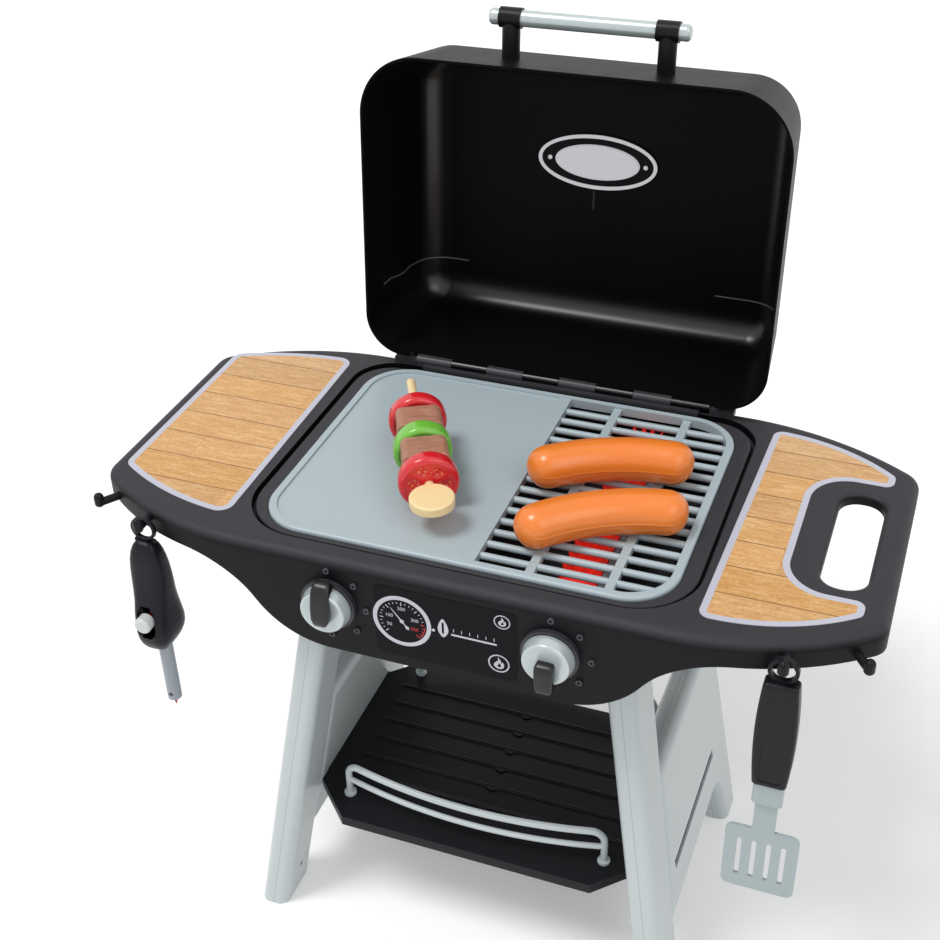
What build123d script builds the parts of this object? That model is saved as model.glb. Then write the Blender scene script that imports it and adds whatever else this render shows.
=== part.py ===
"""Toy barbecue grill with an open lid, side shelves, a lower shelf, play food and two hanging tools.

Units are millimetres. Each piece is modelled in the deck's frame: z = 0 is the top of the worktop, the
cooking plate's centre is x = y = 0, and -Y is the front, where the knobs are. keep() then moves the piece to
the part's frame, whose origin is on the floor below the middle of the whole object.
"""
from build123d import *
from math import asin, cos, pi, radians, sin, sqrt, tan
import os

# Overall sizes
deck_height = 505.0
half_width = 374.0
front_y = -181.0
back_y = 176.0

# Fits and clearances
running_fit = 0.05
loose_fit = 0.5
rest_gap = 0.3
overrun = 5.0

# Worktop moulding
deck_wall = 3.0
front_bow_run = 174.0
front_bow_radius = 265.0
back_bow_run = 179.0
back_bow_radius = 300.0
front_corner_radius = 20.0
back_corner_radius = 24.0
deck_edge_radius = 11.0
skirt_depth = 26.0
apron_depth = 104.0
apron_flat = 110.0
apron_rise_end = 258.0
well_half_x = 216.0
well_front_y = -160.0
well_back_y = 160.0
well_corner_radius = 62.0
well_back_radius = 44.0
well_depth = 9.0
ledge_width = 9.0
handle_hole_inset = 25.0
handle_hole_width = 41.0
handle_hole_front_y = -73.0
handle_hole_back_y = 70.0
handle_hole_radius = 19.0
handle_hole_lip = 6.0
shelf_rib_height = 12.0
shelf_rib_thickness = 2.5
shelf_rib_count = 3

# Stickers
label_thickness = 0.6
label_corner = 14.0
label_left_inset = 15.0
label_left_back_gap = 14.0
label_left_front_gap = 7.5
label_left_front_y = -148.0
label_left_back_y = 150.0
label_left_outer_front_y = -104.0
label_left_outer_back_y = 121.0
label_right_back_gap = 13.0
label_right_front_gap = 5.0
label_right_back_y = 153.0
label_right_front_y = -150.0
label_right_inset = 22.5
label_right_tip_y = 88.0
label_right_tip_outer_y = 107.0
label_right_tip_radius = 9.0
label_right_bow_radius = 184.0
label_right_waist_share = 0.658
label_right_waist_radius = 38.0
label_right_corner = 5.0
control_label_left_x = -62.0
control_label_right_x = 73.0
control_label_top_z = -15.0
control_label_bottom_z = -93.0
control_label_corner = 6.0

# Firebox
flange_gap = 3.5
flange_back_y = 153.5
flange_top_z = -1.0
flange_edge_radius = 3.0
recess_gap = 0.7
recess_depth = 6.0
basin_ledge = 6.0
basin_wall = 2.5
basin_top_half_x = 188.0
basin_bottom_half_x = 166.0
basin_bottom_z = -90.0
basin_half_y = 143.0
basin_corner_radius = 12.0
basin_plan_radius = 34.0

# Cooking plate
plate_half_x = 197.3
plate_half_y = 150.8
plate_corner_radius = 48.0
plate_rim_width = 8.0
plate_rim_top_z = 2.5
plate_face_z = 0.5
plate_thickness = 3.0
divider_x = 8.0
divider_width = 12.0
divider_top_z = 1.8
bar_count = 15
bar_pitch = 18.1
bar_radius = 3.5
bar_top_z = 0.0
rib_places_x = (70.0, 142.0)
rib_width = 8.0
rib_sink = 0.2
plate_lift_room = 25.0

# Knobs
left_knob_x = 106.5
knob_x = 104.0
knob_z = -49.0
bezel_radius = 26.5
bezel_thickness = 5.0
cap_radius = 24.0
cap_face_radius = 21.6
cap_depth = 12.0
cap_dish = 2.0
cap_edge_radius = 1.4
lever_width = 17.4
lever_tip_width = 15.0
lever_tail_radius = 8.0
lever_tip_radius = 3.5
lever_overhang = 10.5
left_lever_side = ((-11.5, 5.0), (-4.0, 7.5), (24.0, -1.5), (30.5, -4.5))
right_lever_side = ((-2.5, 1.0), (0.5, 6.0), (5.0, 7.5), (27.6, 7.5))
spindle_radius = 6.0
detent_radius = 13.0
detent_thickness = 4.0
detent_notch_radius = 1.6
detent_count = 8
spindle_stub = 10.0
leaf_width = 8.0
leaf_thickness = 1.2
leaf_length = 34.0
leaf_nub_radius = 2.0
drive_square = 7.0
drive_length = 9.0
dot_ring_radius = 36.5
dot_radius = 3.2
dot_height = 1.6
dot_count = 5

# Flame roller
roller_radius = 26.0
roller_front_y = -119.0
roller_end_gap = 2.0
roller_arc_steps = 6
tooth_root_share = 0.5
journal_radius = 4.0
comb_thickness = 1.5
comb_half_angle = 40.0
tooth_height = 10.0
tooth_depth = 4.0
teeth_in_row = 4
tooth_pitch_angle = 16.0
plain_gap_count = 2
ash_cover_angle = 100.0
ash_cover_gap_angle = 3.0

# Hooks
tool_hook_inset = 74.0
corner_hook_inset = 21.0
tool_hook_z = -11.5
corner_hook_z = -19.0
hook_radius = 4.0
hook_reach = 20.0
hook_tip_radius = 4.8
hook_tip_rise = 6.0
hook_root = 6.0

# Hinge
hinge_y = 165.2
hinge_z = 5.7
knuckle_radius = 5.2
knuckle_length = 40.0
knuckle_count = 8
knuckle_gap = 0.5
pin_radius = 2.5
hinge_rail_half_x = 150.0
hinge_rail_front_y = 154.0
hinge_rail_height = 4.0
hinge_end_half_x = 185.0
hinge_end_depth = 7.5
hinge_end_slope = 5.0
hinge_end_top_z = 7.5
open_angle = 95.0

# Lid
lid_wall = 2.4
lid_groove_gap = 0.7
lid_rim_z = -4.0
lid_height = 133.0
lid_edge_radius = 36.0
lid_taper = 6.0
lid_notch_half_x = 166.0
lid_notch_top_z = 4.7
lid_notch_reach = 20.0
lid_tab_thickness = 4.0
handle_post_x = 78.0
handle_z = 56.0
handle_standoff = 32.0
handle_bar_radius = 8.0
handle_bar_overhang = 22.0
handle_bar_end_radius = 4.0
handle_post_radius = 9.0
handle_screw_radius = 2.0
handle_screw_head_radius = 4.5
handle_screw_head_height = 2.5
handle_screw_length = 14.0
badge_x = -4.7
badge_y = -34.7
badge_half_x = 64.5
badge_half_y = 29.0
badge_thickness = 2.5
badge_trim_width = 3.8
badge_trim_height = 1.2
badge_panel_half_x = 45.8
badge_panel_half_y = 18.6

# Side frames
frame_x = 134.8
frame_tilt = 9.0
frame_half_thickness = 15.0
frame_wall = 2.5
frame_edge_radius = 10.5
front_leg_top_y = -130.0
front_leg_foot_y = -183.0
front_leg_width = 60.0
crease_overlap = 8.0
rear_leg_top_y = 124.0
rear_leg_foot_y = 143.5
rear_leg_width = 42.0
crest_rise = 255.0
arch_rise = 73.0
leg_overrun = 30.0
arch_rear_flare = 12.0
window_corner_radius = 20.0
arch_corner_radius = 24.0
foot_end_wall = 3.0
frame_boss_radius = 5.0
frame_screw_radius = 1.7
frame_screw_head_radius = 3.4
frame_screw_head_height = 2.4
frame_screw_gap = 0.15
frame_screw_drop = 55.0
deck_screw_radius = 2.0
deck_screw_head_radius = 4.5
deck_screw_head_height = 2.5
deck_screw_length = 14.0

# Lower shelf
shelf_rise = 132.0
shelf_front_y = -150.0
shelf_back_y = 92.0
shelf_back_chamfer = 20.0
shelf_front_chamfer = 42.0
shelf_thickness = 3.0
shelf_skirt = 12.0
shelf_side_gap = 0.5
tray_rib_count = 6
tray_rib_back_y = 57.0
tray_rib_pitch = 28.7
tray_rib_half_x = 152.0
tray_rib_radius = 2.5
tray_rib_height = 2.2
tray_boss_height = 1.6
tray_boss_radius = 6.5
tongue_front_y = -92.0
tongue_back_y = 74.0
tongue_thickness = 10.0
tongue_gap = 0.5
tongue_recess = 2.5
rail_x = 141.0
rail_y = -116.0
rear_rail_y = 84.0
rail_height = 43.0
rail_low_height = 22.0
rail_radius = 3.6
rail_low_radius = 3.0
rail_bend_radius = 14.0
rail_start_angle = 13.0
rail_foot_radius = 6.5
rail_foot_height = 3.0

# Food
sausage_radius = 21.0
sausage_bow = 9.0
front_sausage_ends = ((65.0, -100.0), (166.0, -45.0))
rear_sausage_ends = ((46.0, -8.0), (152.0, 34.0))
skewer_centre = (-86.3, -5.5)
skewer_direction = (0.467, -0.884)
slice_radius = 28.5
tomato_thickness = 17.0
pepper_thickness = 20.0
slice_edge_radius = 5.0
cube_side = 44.0
cube_length = 33.5
cube_edge_radius = 7.0
cube_end_radius = 1.75
stick_radius = 4.5
stick_tail = 98.0
grip_radius = 21.0
grip_thickness = 10.0
grip_distance = 112.5
grip_edge_radius = 2.0
grip_overlap = 10.5
slice_gap = 0.4

# Tools
ring_outer_radius = 13.0
ring_inner_radius = 9.8
ring_thickness = 5.0
tool_standoff = 12.6
neck_width = 20.0
igniter_top_z = -14.0
igniter_bottom_z = -141.0
igniter_half_width = 16.0
igniter_edge_radius = 5.0
igniter_front_top_y = -12.0
igniter_front_waist = (-10.0, -43.0)
igniter_front_shoulder = (-29.0, -108.0)
igniter_front_y = -30.0
igniter_chin_y = -24.0
igniter_back_top_y = 5.0
igniter_back_waist = (14.0, -65.0)
igniter_back_bulge = (23.0, -127.0)
igniter_back_heel_y = 10.0
tube_radius = 7.2
tube_bore = 4.2
tube_length = 71.0
tube_root = 12.0
tube_window_radius = 2.6
tube_window_rise = 7.0
flame_rod_radius = 3.6
flame_tip_length = 12.0
button_radius = 8.5
button_front_y = -32.0
button_dome = 3.0
pocket_top_z = -81.0
pocket_length = 33.5
pocket_width = 19.0
pocket_floor_y = -20.0
button_z = -96.0
spatula_top_z = -12.0
spatula_bottom_z = -129.0
spatula_end_half_width = 14.7
spatula_half_width = 17.8
spatula_half_depth = 8.0
spatula_edge_radius = 4.0
panel_half_width = 10.0
panel_top_z = -71.0
panel_bottom_z = -123.0
panel_depth = 0.6
panel_corner = 4.0
blade_root = 14.0
socket_half_width = 13.6
socket_half_depth = 5.5
socket_length = 26.0
blade_neck_length = 60.0
blade_neck_half_width = 10.0
blade_length = 78.0
blade_half_width = 33.0
blade_thickness = 3.2
blade_slot_count = 4
blade_slot_width = 4.5
blade_slot_length = 48.0
blade_corner_radius = 8.0

# Places that follow from the sizes above
front_flat = half_width - front_bow_run
back_flat = half_width - back_bow_run
handle_hole_outer_x = half_width - handle_hole_inset
handle_hole_inner_x = handle_hole_outer_x - handle_hole_width
label_left_outer_x = half_width - label_left_inset
label_left_inner_back_x = well_half_x + label_left_back_gap
label_left_inner_front_x = well_half_x + label_left_front_gap
label_right_inner_back_x = well_half_x + label_right_back_gap
label_right_inner_front_x = well_half_x + label_right_front_gap
label_right_tip_x = half_width - label_right_inset
label_right_hole_gap = handle_hole_inner_x - label_right_inner_back_x
label_right_waist_x = label_right_inner_back_x + label_right_hole_gap * label_right_waist_share
shelf_z = shelf_rise - deck_height
crest_z = crest_rise - deck_height
arch_z = arch_rise - deck_height
tool_hook_x = half_width - tool_hook_inset
corner_hook_x = half_width - corner_hook_inset
tool_hook_run = tool_hook_x - front_flat
tool_hook_base_y = front_y + front_bow_radius - sqrt(front_bow_radius**2 - tool_hook_run**2)
tool_y = tool_hook_base_y - tool_standoff
lid_slope = tan(radians(lid_taper))
lid_front_y = well_front_y + lid_groove_gap
edge_centre_z = lid_height - lid_edge_radius
edge_run = (edge_centre_z - lid_rim_z) * lid_slope
edge_centre_y = lid_front_y + edge_run + lid_edge_radius / cos(radians(lid_taper))
lid_reach_y = (edge_centre_z - hinge_z) * sin(radians(open_angle))
lid_lean_y = (hinge_y - edge_centre_y) * cos(radians(180 - open_angle))
rear_reach_y = hinge_y + lid_reach_y + lid_lean_y + lid_edge_radius
lever_height = max(out for _, out in left_lever_side + right_lever_side)
front_reach_y = front_y - bezel_thickness - loose_fit - cap_depth - lever_height
frame_shift = (rear_reach_y + front_reach_y) / 2
tilt = radians(frame_tilt)
basin_floor_z = basin_bottom_z + basin_wall
cap_back_y = front_y - bezel_thickness - loose_fit
ceiling_z = lid_height - lid_wall
ring_z = tool_hook_z + hook_radius + rest_gap - ring_inner_radius
slice_bottom_z = plate_face_z + rest_gap
skewer_z = slice_bottom_z + slice_radius


def keep(name, shape):
    """Move a finished piece from the deck's frame to the part's frame and write its file."""
    export_step(Pos(0, -frame_shift, deck_height) * shape, f"parts/{name}.step")


def group(shapes):
    """Hold several separate solids of one node together."""
    return Compound(children=list(shapes))


def rod(start, end, radius):
    """A round rod from one point to another."""
    axis = Vector(*end) - Vector(*start)
    plane = Plane(origin=start, z_dir=axis)
    return extrude(plane * Circle(radius), axis.length)


def block(low, high):
    """A box between two corners."""
    size = [b - a for a, b in zip(low, high)]
    middle = [(a + b) / 2 for a, b in zip(low, high)]
    return Pos(*middle) * Box(*size)


def slab(outline, bottom_z, top_z):
    """Stand a flat outline up between two heights."""
    return extrude(Pos(0, 0, bottom_z) * outline, top_z - bottom_z)


def rounded(half_x, front, back, radius, back_radius=None):
    """A rounded rectangle, even about x = 0, with its own radius at the back if one is given."""
    if back_radius is None:
        return Pos(0, (front + back) / 2) * RectangleRounded(2 * half_x, back - front, radius)
    face = make_face(Polyline((-half_x, front), (half_x, front), (half_x, back), (-half_x, back), close=True))
    face = fillet(face.vertices().group_by(Axis.Y)[0], radius)
    corners = [v for v in face.vertices() if abs(v.Y - back) < running_fit]
    return fillet(corners, back_radius)


def mirrored(shape):
    """The same shape on the other side of x = 0."""
    return mirror(shape, about=Plane.YZ)


# Worktop

def deck_outline(inset):
    """The worktop's outline seen from above, drawn in by the inset."""
    bow = half_width - front_flat
    front_drop = front_bow_radius - sqrt(front_bow_radius**2 - bow**2)
    back_bow = half_width - back_flat
    back_drop = back_bow_radius - sqrt(back_bow_radius**2 - back_bow**2)
    front_corner = (half_width, front_y + front_drop)
    back_corner = (half_width, back_y - back_drop)
    right = [
        Line((0, front_y), (front_flat, front_y)),
        RadiusArc((front_flat, front_y), front_corner, -front_bow_radius),
        Line(front_corner, back_corner),
        RadiusArc(back_corner, (back_flat, back_y), -back_bow_radius),
        Line((back_flat, back_y), (0, back_y)),
    ]
    left = [mirror(edge, about=Plane.YZ) for edge in right]
    face = make_face(right + left)
    corners = face.vertices().group_by(Axis.X)
    ends = corners[0] + corners[-1]
    face = fillet(ends.group_by(Axis.Y)[0], front_corner_radius)
    ends = face.vertices().filter_by(lambda v: abs(abs(v.X) - half_width) < running_fit and v.Y > 0)
    face = fillet(ends.group_by(Axis.Y)[-1], back_corner_radius)
    return offset(face, -inset) if inset else face


def apron_profile():
    """The region above the apron's lower edge, seen from the front: deep in the middle, shallow outside."""
    rise = (apron_rise_end - apron_flat) / 2
    drop = (apron_depth - skirt_depth) / 2
    radius = (rise**2 + drop**2) / (2 * drop)
    middle = ((apron_flat + apron_rise_end) / 2, -(apron_depth + skirt_depth) / 2)
    side = half_width + overrun
    right = [
        Line((0, -apron_depth), (apron_flat, -apron_depth)),
        RadiusArc((apron_flat, -apron_depth), middle, -radius),
        RadiusArc(middle, (apron_rise_end, -skirt_depth), radius),
        Line((apron_rise_end, -skirt_depth), (side, -skirt_depth)),
        Line((side, -skirt_depth), (side, overrun)),
        Line((side, overrun), (0, overrun)),
    ]
    left = [mirror(edge, about=Plane.YZ) for edge in right]
    return make_face(right + left)


def handle_hole(lip):
    """The hand grip cut-out in the right shelf, wider by the lip."""
    centre_x = (handle_hole_inner_x + handle_hole_outer_x) / 2
    centre_y = (handle_hole_front_y + handle_hole_back_y) / 2
    width = handle_hole_outer_x - handle_hole_inner_x + 2 * lip
    length = handle_hole_back_y - handle_hole_front_y + 2 * lip
    return Pos(centre_x, centre_y) * RectangleRounded(width, length, handle_hole_radius + lip)


def knob_place(side):
    """How far right a knob's axis is. side is -1 for the left knob or 1 for the right."""
    return knob_x if side > 0 else -left_knob_x


def knob_holes():
    """Bores for the two knob spindles through a wall."""
    bore = spindle_radius + running_fit
    places = [knob_place(side) for side in (-1, 1)]
    return [rod((x, front_y - overrun, knob_z), (x, front_y + 2 * overrun, knob_z), bore) for x in places]


def click_dots():
    """Small round studs on the apron that mark the click places of each knob."""
    dots = []
    for side in (-1, 1):
        for step in range(dot_count):
            angle = pi * step / (dot_count - 1)
            x = knob_place(side) + dot_ring_radius * sin(angle)
            z = knob_z + dot_ring_radius * cos(angle)
            dots.append(rod((x, front_y + deck_wall / 2, z), (x, front_y - dot_height, z), dot_radius))
    return dots


def make_worktop():
    """The charcoal deck with its apron, skirts, shelves, well and hand grip."""
    full_depth = apron_depth + overrun
    outside = slab(deck_outline(0), -full_depth, 0)
    outside = fillet(outside.faces().sort_by(Axis.Z)[-1].edges(), deck_edge_radius)
    profile = Plane.XZ * apron_profile()
    outside = outside & extrude(profile, 2 * half_width, both=True)
    hollow = slab(deck_outline(deck_wall), -full_depth - overrun, -deck_wall)
    hollow = fillet(hollow.faces().sort_by(Axis.Z)[-1].edges(), deck_edge_radius - deck_wall)
    deck = outside - hollow
    # The well's rim hangs below the top and turns in as a ledge for the firebox
    well = rounded(well_half_x, well_front_y, well_back_y, well_corner_radius, well_back_radius)
    rim = offset(well, deck_wall)
    inner = offset(well, -ledge_width)
    deck += slab(rim, -well_depth - deck_wall, -deck_wall / 2)
    deck -= slab(well, -well_depth, overrun)
    deck -= slab(inner, -well_depth - deck_wall - overrun, 0)
    # The hand grip is a hole with a turned-down rim
    deck += slab(handle_hole(handle_hole_lip), -shelf_rib_height, -deck_wall / 2)
    grip = slab(handle_hole(0), -skirt_depth, 0)
    mouth = slab(handle_hole(handle_hole_lip), -handle_hole_lip, 0)
    rounding = slab(handle_hole(handle_hole_lip), -shelf_rib_height, 0) - grip
    inner_edges = [e for e in rounding.faces().sort_by(Axis.Z)[-1].inner_wires()[0].edges()]
    rounding = mouth - fillet(inner_edges, handle_hole_lip - loose_fit)
    deck -= grip
    deck -= rounding
    # Stiffening ribs under the shelves
    for side in (-1, 1):
        start = well_half_x + deck_wall
        for step in range(shelf_rib_count):
            x = side * (start + (handle_hole_inner_x - start) * (step + 1) / (shelf_rib_count + 1))
            reach = abs(well_front_y) - front_corner_radius
            low = (x - shelf_rib_thickness / 2, -reach, -shelf_rib_height)
            high = (x + shelf_rib_thickness / 2, reach, -deck_wall / 2)
            deck += block(low, high)
    for dot in click_dots():
        deck += dot
    for hole in knob_holes():
        deck -= hole
    for hook in hook_places():
        deck -= hook_peg(hook, running_fit)
    return deck


# Stickers

def left_label_outline():
    """The left shelf's sticker: four corners, the two outer ones further in along the bowed edges."""
    points = [
        (-label_left_outer_x, label_left_outer_front_y),
        (-label_left_inner_front_x, label_left_front_y),
        (-label_left_inner_back_x, label_left_back_y),
        (-label_left_outer_x, label_left_outer_back_y),
    ]
    front = RadiusArc(points[0], points[1], -front_bow_radius)
    inner = Line(points[1], points[2])
    back = RadiusArc(points[2], points[3], -back_bow_radius)
    outer = Line(points[3], points[0])
    face = make_face([front, inner, back, outer])
    return fillet(face.vertices(), label_corner)


def right_label_outline():
    """The right shelf's sticker: its outer side is scooped round the hand grip."""
    inner_back = (label_right_inner_back_x, label_right_back_y)
    inner_front = (label_right_inner_front_x, label_right_front_y)
    tip_back = (label_right_tip_x, label_right_tip_outer_y)
    tip_front = (label_right_tip_x, -label_right_tip_outer_y)
    heel_back = (label_right_tip_x, label_right_tip_y)
    heel_front = (label_right_tip_x, -label_right_tip_y)
    waist_back = (label_right_waist_x, label_right_tip_y)
    waist_front = (label_right_waist_x, -label_right_tip_y)
    edges = [
        Line(inner_front, inner_back),
        RadiusArc(inner_back, tip_back, label_right_bow_radius),
        Line(tip_back, heel_back),
        Line(heel_back, waist_back),
        Line(waist_back, waist_front),
        Line(waist_front, heel_front),
        Line(heel_front, tip_front),
        RadiusArc(tip_front, inner_front, label_right_bow_radius),
    ]
    face = make_face(edges)
    waist = [v for v in face.vertices() if abs(v.X - label_right_waist_x) < running_fit]
    face = fillet(waist, label_right_waist_radius)
    inner = [v for v in face.vertices() if v.X < label_right_inner_back_x + running_fit]
    face = fillet(inner, 2 * label_right_corner)
    outer = [v for v in face.vertices() if v.X > label_right_tip_x - running_fit]
    return fillet(outer, label_right_tip_radius)


def make_labels():
    """The two shelf stickers and the one on the control panel."""
    keep("shelf_label_left", slab(left_label_outline(), 0, label_thickness))
    keep("shelf_label_right", slab(right_label_outline(), 0, label_thickness))
    width = control_label_right_x - control_label_left_x
    height = control_label_top_z - control_label_bottom_z
    middle_x = (control_label_left_x + control_label_right_x) / 2
    middle_z = (control_label_top_z + control_label_bottom_z) / 2
    face = Plane.XZ * Pos(middle_x, middle_z) * RectangleRounded(width, height, control_label_corner)
    keep("control_label", extrude(Pos(0, front_y) * face, label_thickness))


# Firebox

def basin_block(inset):
    """The basin's body as a trapezoid run front to back, drawn in by a wall."""
    slope = (basin_top_half_x - basin_bottom_half_x) / (-well_depth - basin_bottom_z)
    bottom = basin_bottom_z + inset
    top_half = basin_top_half_x - inset
    bottom_half = basin_top_half_x - inset + slope * (bottom + well_depth)
    right = [(bottom_half, bottom), (top_half, -well_depth)]
    left = [(-x, z) for x, z in reversed(right)]
    face = make_face(Polyline(*left, *right, close=True))
    lower = face.vertices().group_by(Axis.Y)[0]
    face = fillet(lower, basin_corner_radius - inset)
    block_run = extrude(Plane.XZ * face, basin_half_y - inset, both=True)
    reach_y = basin_half_y - inset
    plan = rounded(top_half, -reach_y, reach_y, basin_plan_radius - inset)
    return block_run & slab(plan, bottom, -well_depth)


def make_firebox():
    """The black insert that drops into the well and holds the plate and the flame roller."""
    flange_front = well_front_y + flange_gap + running_fit
    half_x = well_half_x - flange_gap
    outline = rounded(half_x, flange_front, flange_back_y, well_corner_radius - flange_gap,
                      well_back_radius - flange_gap)
    flange = slab(outline, -well_depth, flange_top_z)
    flange = fillet(flange.faces().sort_by(Axis.Z)[-1].edges(), flange_edge_radius)
    recess_x = plate_half_x + recess_gap
    recess_y = plate_half_y + recess_gap
    recess = rounded(recess_x, -recess_y, recess_y, plate_corner_radius + recess_gap)
    opening = rounded(recess_x - basin_ledge, basin_ledge - recess_y, recess_y - basin_ledge,
                      plate_corner_radius - basin_ledge)
    body = flange + basin_block(0)
    body -= slab(recess, flange_top_z - recess_depth, overrun)
    body -= slab(opening, -well_depth - running_fit, overrun)
    body -= basin_block(basin_wall)
    bore = spindle_radius + running_fit
    body -= rod((knob_x, -basin_half_y - overrun, knob_z), (knob_x, -basin_half_y + overrun, knob_z), bore)
    bore = journal_radius + running_fit
    body -= rod((knob_x, basin_half_y - overrun, knob_z), (knob_x, basin_half_y + overrun, knob_z), bore)
    for x, y in deck_screw_places():
        hole = deck_screw_radius + frame_screw_gap
        body -= rod((x, y, basin_bottom_z - overrun), (x, y, basin_floor_z + overrun), hole)
    return body


# Cooking plate

def bar_lines():
    """The front-to-back places of the grill bars."""
    first = -bar_pitch * (bar_count - 1) / 2
    return [first + bar_pitch * step for step in range(bar_count)]


def gap_lines():
    """The middles of the gaps between the bars that have flames below them."""
    return [y + bar_pitch / 2 for y in bar_lines()[plain_gap_count - 1:]]


def make_plate():
    """One light moulding: a flat plancha on the left, round bars on the right, a rim all round."""
    bottom = flange_top_z - recess_depth + rest_gap
    outline = rounded(plate_half_x, -plate_half_y, plate_half_y, plate_corner_radius)
    inside = offset(outline, -plate_rim_width)
    rim = slab(outline, bottom, plate_rim_top_z)
    rim = fillet(rim.faces().sort_by(Axis.Z)[-1].edges(), plate_thickness)
    rim -= slab(inside, bottom - overrun, plate_rim_top_z + overrun)
    sheet = slab(offset(outline, -plate_rim_width / 2), plate_face_z - plate_thickness, plate_face_z)
    bars_start = divider_x + divider_width
    window_room = Rectangle(plate_half_x - bars_start, 2 * plate_half_y)
    window = inside & (Pos((bars_start + plate_half_x) / 2, 0) * window_room)
    sheet -= slab(window, -well_depth, overrun)
    plate = rim + sheet
    strip = Pos(divider_x + divider_width / 2, 0) * Rectangle(divider_width, 2 * plate_half_y)
    plate += slab(inside & strip, bottom, divider_top_z)
    grown = offset(window, bar_radius / 2)
    bars = []
    for y in bar_lines():
        bars.append(rod((bars_start - bar_radius, y, bar_top_z - bar_radius),
                        (plate_half_x, y, bar_top_z - bar_radius), bar_radius))
    for x in rib_places_x:
        low = (x - rib_width / 2, -plate_half_y, bar_top_z - 2 * bar_radius)
        high = (x + rib_width / 2, plate_half_y, bar_top_z - rib_sink)
        bars.append(block(low, high))
    trimmer = slab(grown, bottom - overrun, plate_rim_top_z)
    for bar in bars:
        plate += bar & trimmer
    return plate


# Knobs

def lever_shape(side_points):
    """A lever in the knob's own frame: its side view run across, trimmed to its front view."""
    tail, reach = side_points[0][0], side_points[-1][0]
    under = [(reach, -lever_overhang), (tail, -lever_overhang)]
    side_view = make_face(Polyline(*side_points, *under, close=True))
    half, tip = lever_width / 2, lever_tip_width / 2
    corners = [(-half, tail), (half, tail), (tip, reach), (-tip, reach)]
    front_view = make_face(Polyline(*corners, close=True))
    front_view = fillet(front_view.vertices().group_by(Axis.Y)[0], lever_tail_radius)
    front_view = fillet(front_view.vertices().group_by(Axis.Y)[-1], lever_tip_radius)
    run = extrude(Plane.YZ * side_view, lever_width, both=True)
    return run & slab(front_view, -lever_overhang, lever_height)


def make_knob(side, side_points, turned):
    """Cap and lever of one knob. side is -1 or 1, turned is the lever's angle from straight up."""
    points = [(0, 0), (cap_radius, 0), (cap_face_radius, cap_depth), (0, cap_depth - cap_dish)]
    section = make_face(Polyline(*points, close=True))
    rim = [v for v in section.vertices() if abs(v.Y - cap_depth) < running_fit]
    cap = revolve(Plane.XZ * fillet(rim, cap_edge_radius), Axis.Z)
    lever = Pos(0, 0, cap_depth) * lever_shape(side_points) - cap
    # The knob's own z axis points out of the apron, towards the front
    place = Pos(knob_place(side), cap_back_y, knob_z) * Rot(90, 0, 0) * Rot(0, 0, -turned)
    return place * cap, place * lever


def make_spindle(side, length):
    """The shaft behind one knob with its toothed click wheel."""
    x = knob_place(side)
    wheel_y = front_y + deck_wall + loose_fit
    shaft = rod((x, cap_back_y, knob_z), (x, cap_back_y + length, knob_z), spindle_radius)
    wheel = rod((x, wheel_y, knob_z), (x, wheel_y + detent_thickness, knob_z), detent_radius)
    for step in range(detent_count):
        angle = 2 * pi * step / detent_count
        nx = x + detent_radius * sin(angle)
        nz = knob_z + detent_radius * cos(angle)
        wheel -= rod((nx, wheel_y - overrun, nz), (nx, wheel_y + 2 * overrun, nz), detent_notch_radius)
    return shaft + wheel


def make_click_leaf(side):
    """The springy strip inside the apron whose nub drops into the click wheel's notches."""
    x = knob_place(side)
    wheel_y = front_y + deck_wall + loose_fit
    low_z = knob_z + detent_radius + rest_gap + leaf_nub_radius
    strip = block((x - leaf_length / 2, front_y + deck_wall, low_z),
                  (x + leaf_length / 2, front_y + deck_wall + leaf_width, low_z + leaf_thickness))
    nub = rod((x, wheel_y, low_z), (x, wheel_y + detent_thickness, low_z), leaf_nub_radius)
    return strip + nub


def make_bezel(side):
    """The black ring between a knob's cap and the apron."""
    x = knob_place(side)
    ring = rod((x, front_y, knob_z), (x, front_y - bezel_thickness, knob_z), bezel_radius)
    bore = spindle_radius + loose_fit
    return ring - rod((x, front_y + overrun, knob_z), (x, front_y - 2 * overrun, knob_z), bore)


# Flame roller

def sector(radius, start, sweep):
    """A pie slice in the roller's cross-section, from a start angle through a sweep, in degrees from +X."""
    angles = [radians(start + sweep * step / roller_arc_steps) for step in range(roller_arc_steps + 1)]
    arc = [(radius * cos(angle), radius * sin(angle)) for angle in angles]
    return make_face(Polyline((0, 0), *arc, close=True))


def sleeve(inner, outer, start, sweep, low_y, high_y):
    """Part of a tube round the roller's axis."""
    ring = (Circle(outer) - Circle(inner)) & sector(2 * outer, start, sweep)
    return along_roller(ring, low_y, high_y)


def along_roller(face, low_y, high_y):
    """Run a cross-section along the roller's axis."""
    # Plane.XZ looks along -Y, so the run starts at the far end
    solid = extrude(Plane.XZ * face, high_y - low_y)
    return Pos(knob_x, high_y, knob_z) * solid


def tooth_row():
    """One row of flame teeth in the roller's cross-section."""
    root = roller_radius + comb_thickness / 2
    foot = roller_radius + comb_thickness
    sweep = tooth_pitch_angle
    half_sweep = sweep * teeth_in_row / 2
    points = []
    for tooth in range(teeth_in_row):
        start = radians(90 + half_sweep - tooth * sweep)
        peak = start - radians(sweep / 2)
        points.append((foot * cos(start), foot * sin(start)))
        points.append(((foot + tooth_height) * cos(peak), (foot + tooth_height) * sin(peak)))
    end = radians(90 - half_sweep)
    points.append((foot * cos(end), foot * sin(end)))
    points.append((root * cos(end), root * sin(end)))
    points.append((0, roller_radius * tooth_root_share))
    start = radians(90 + half_sweep)
    points.append((root * cos(start), root * sin(start)))
    return make_face(Polyline(*points, close=True)) - Circle(roller_radius)


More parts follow.
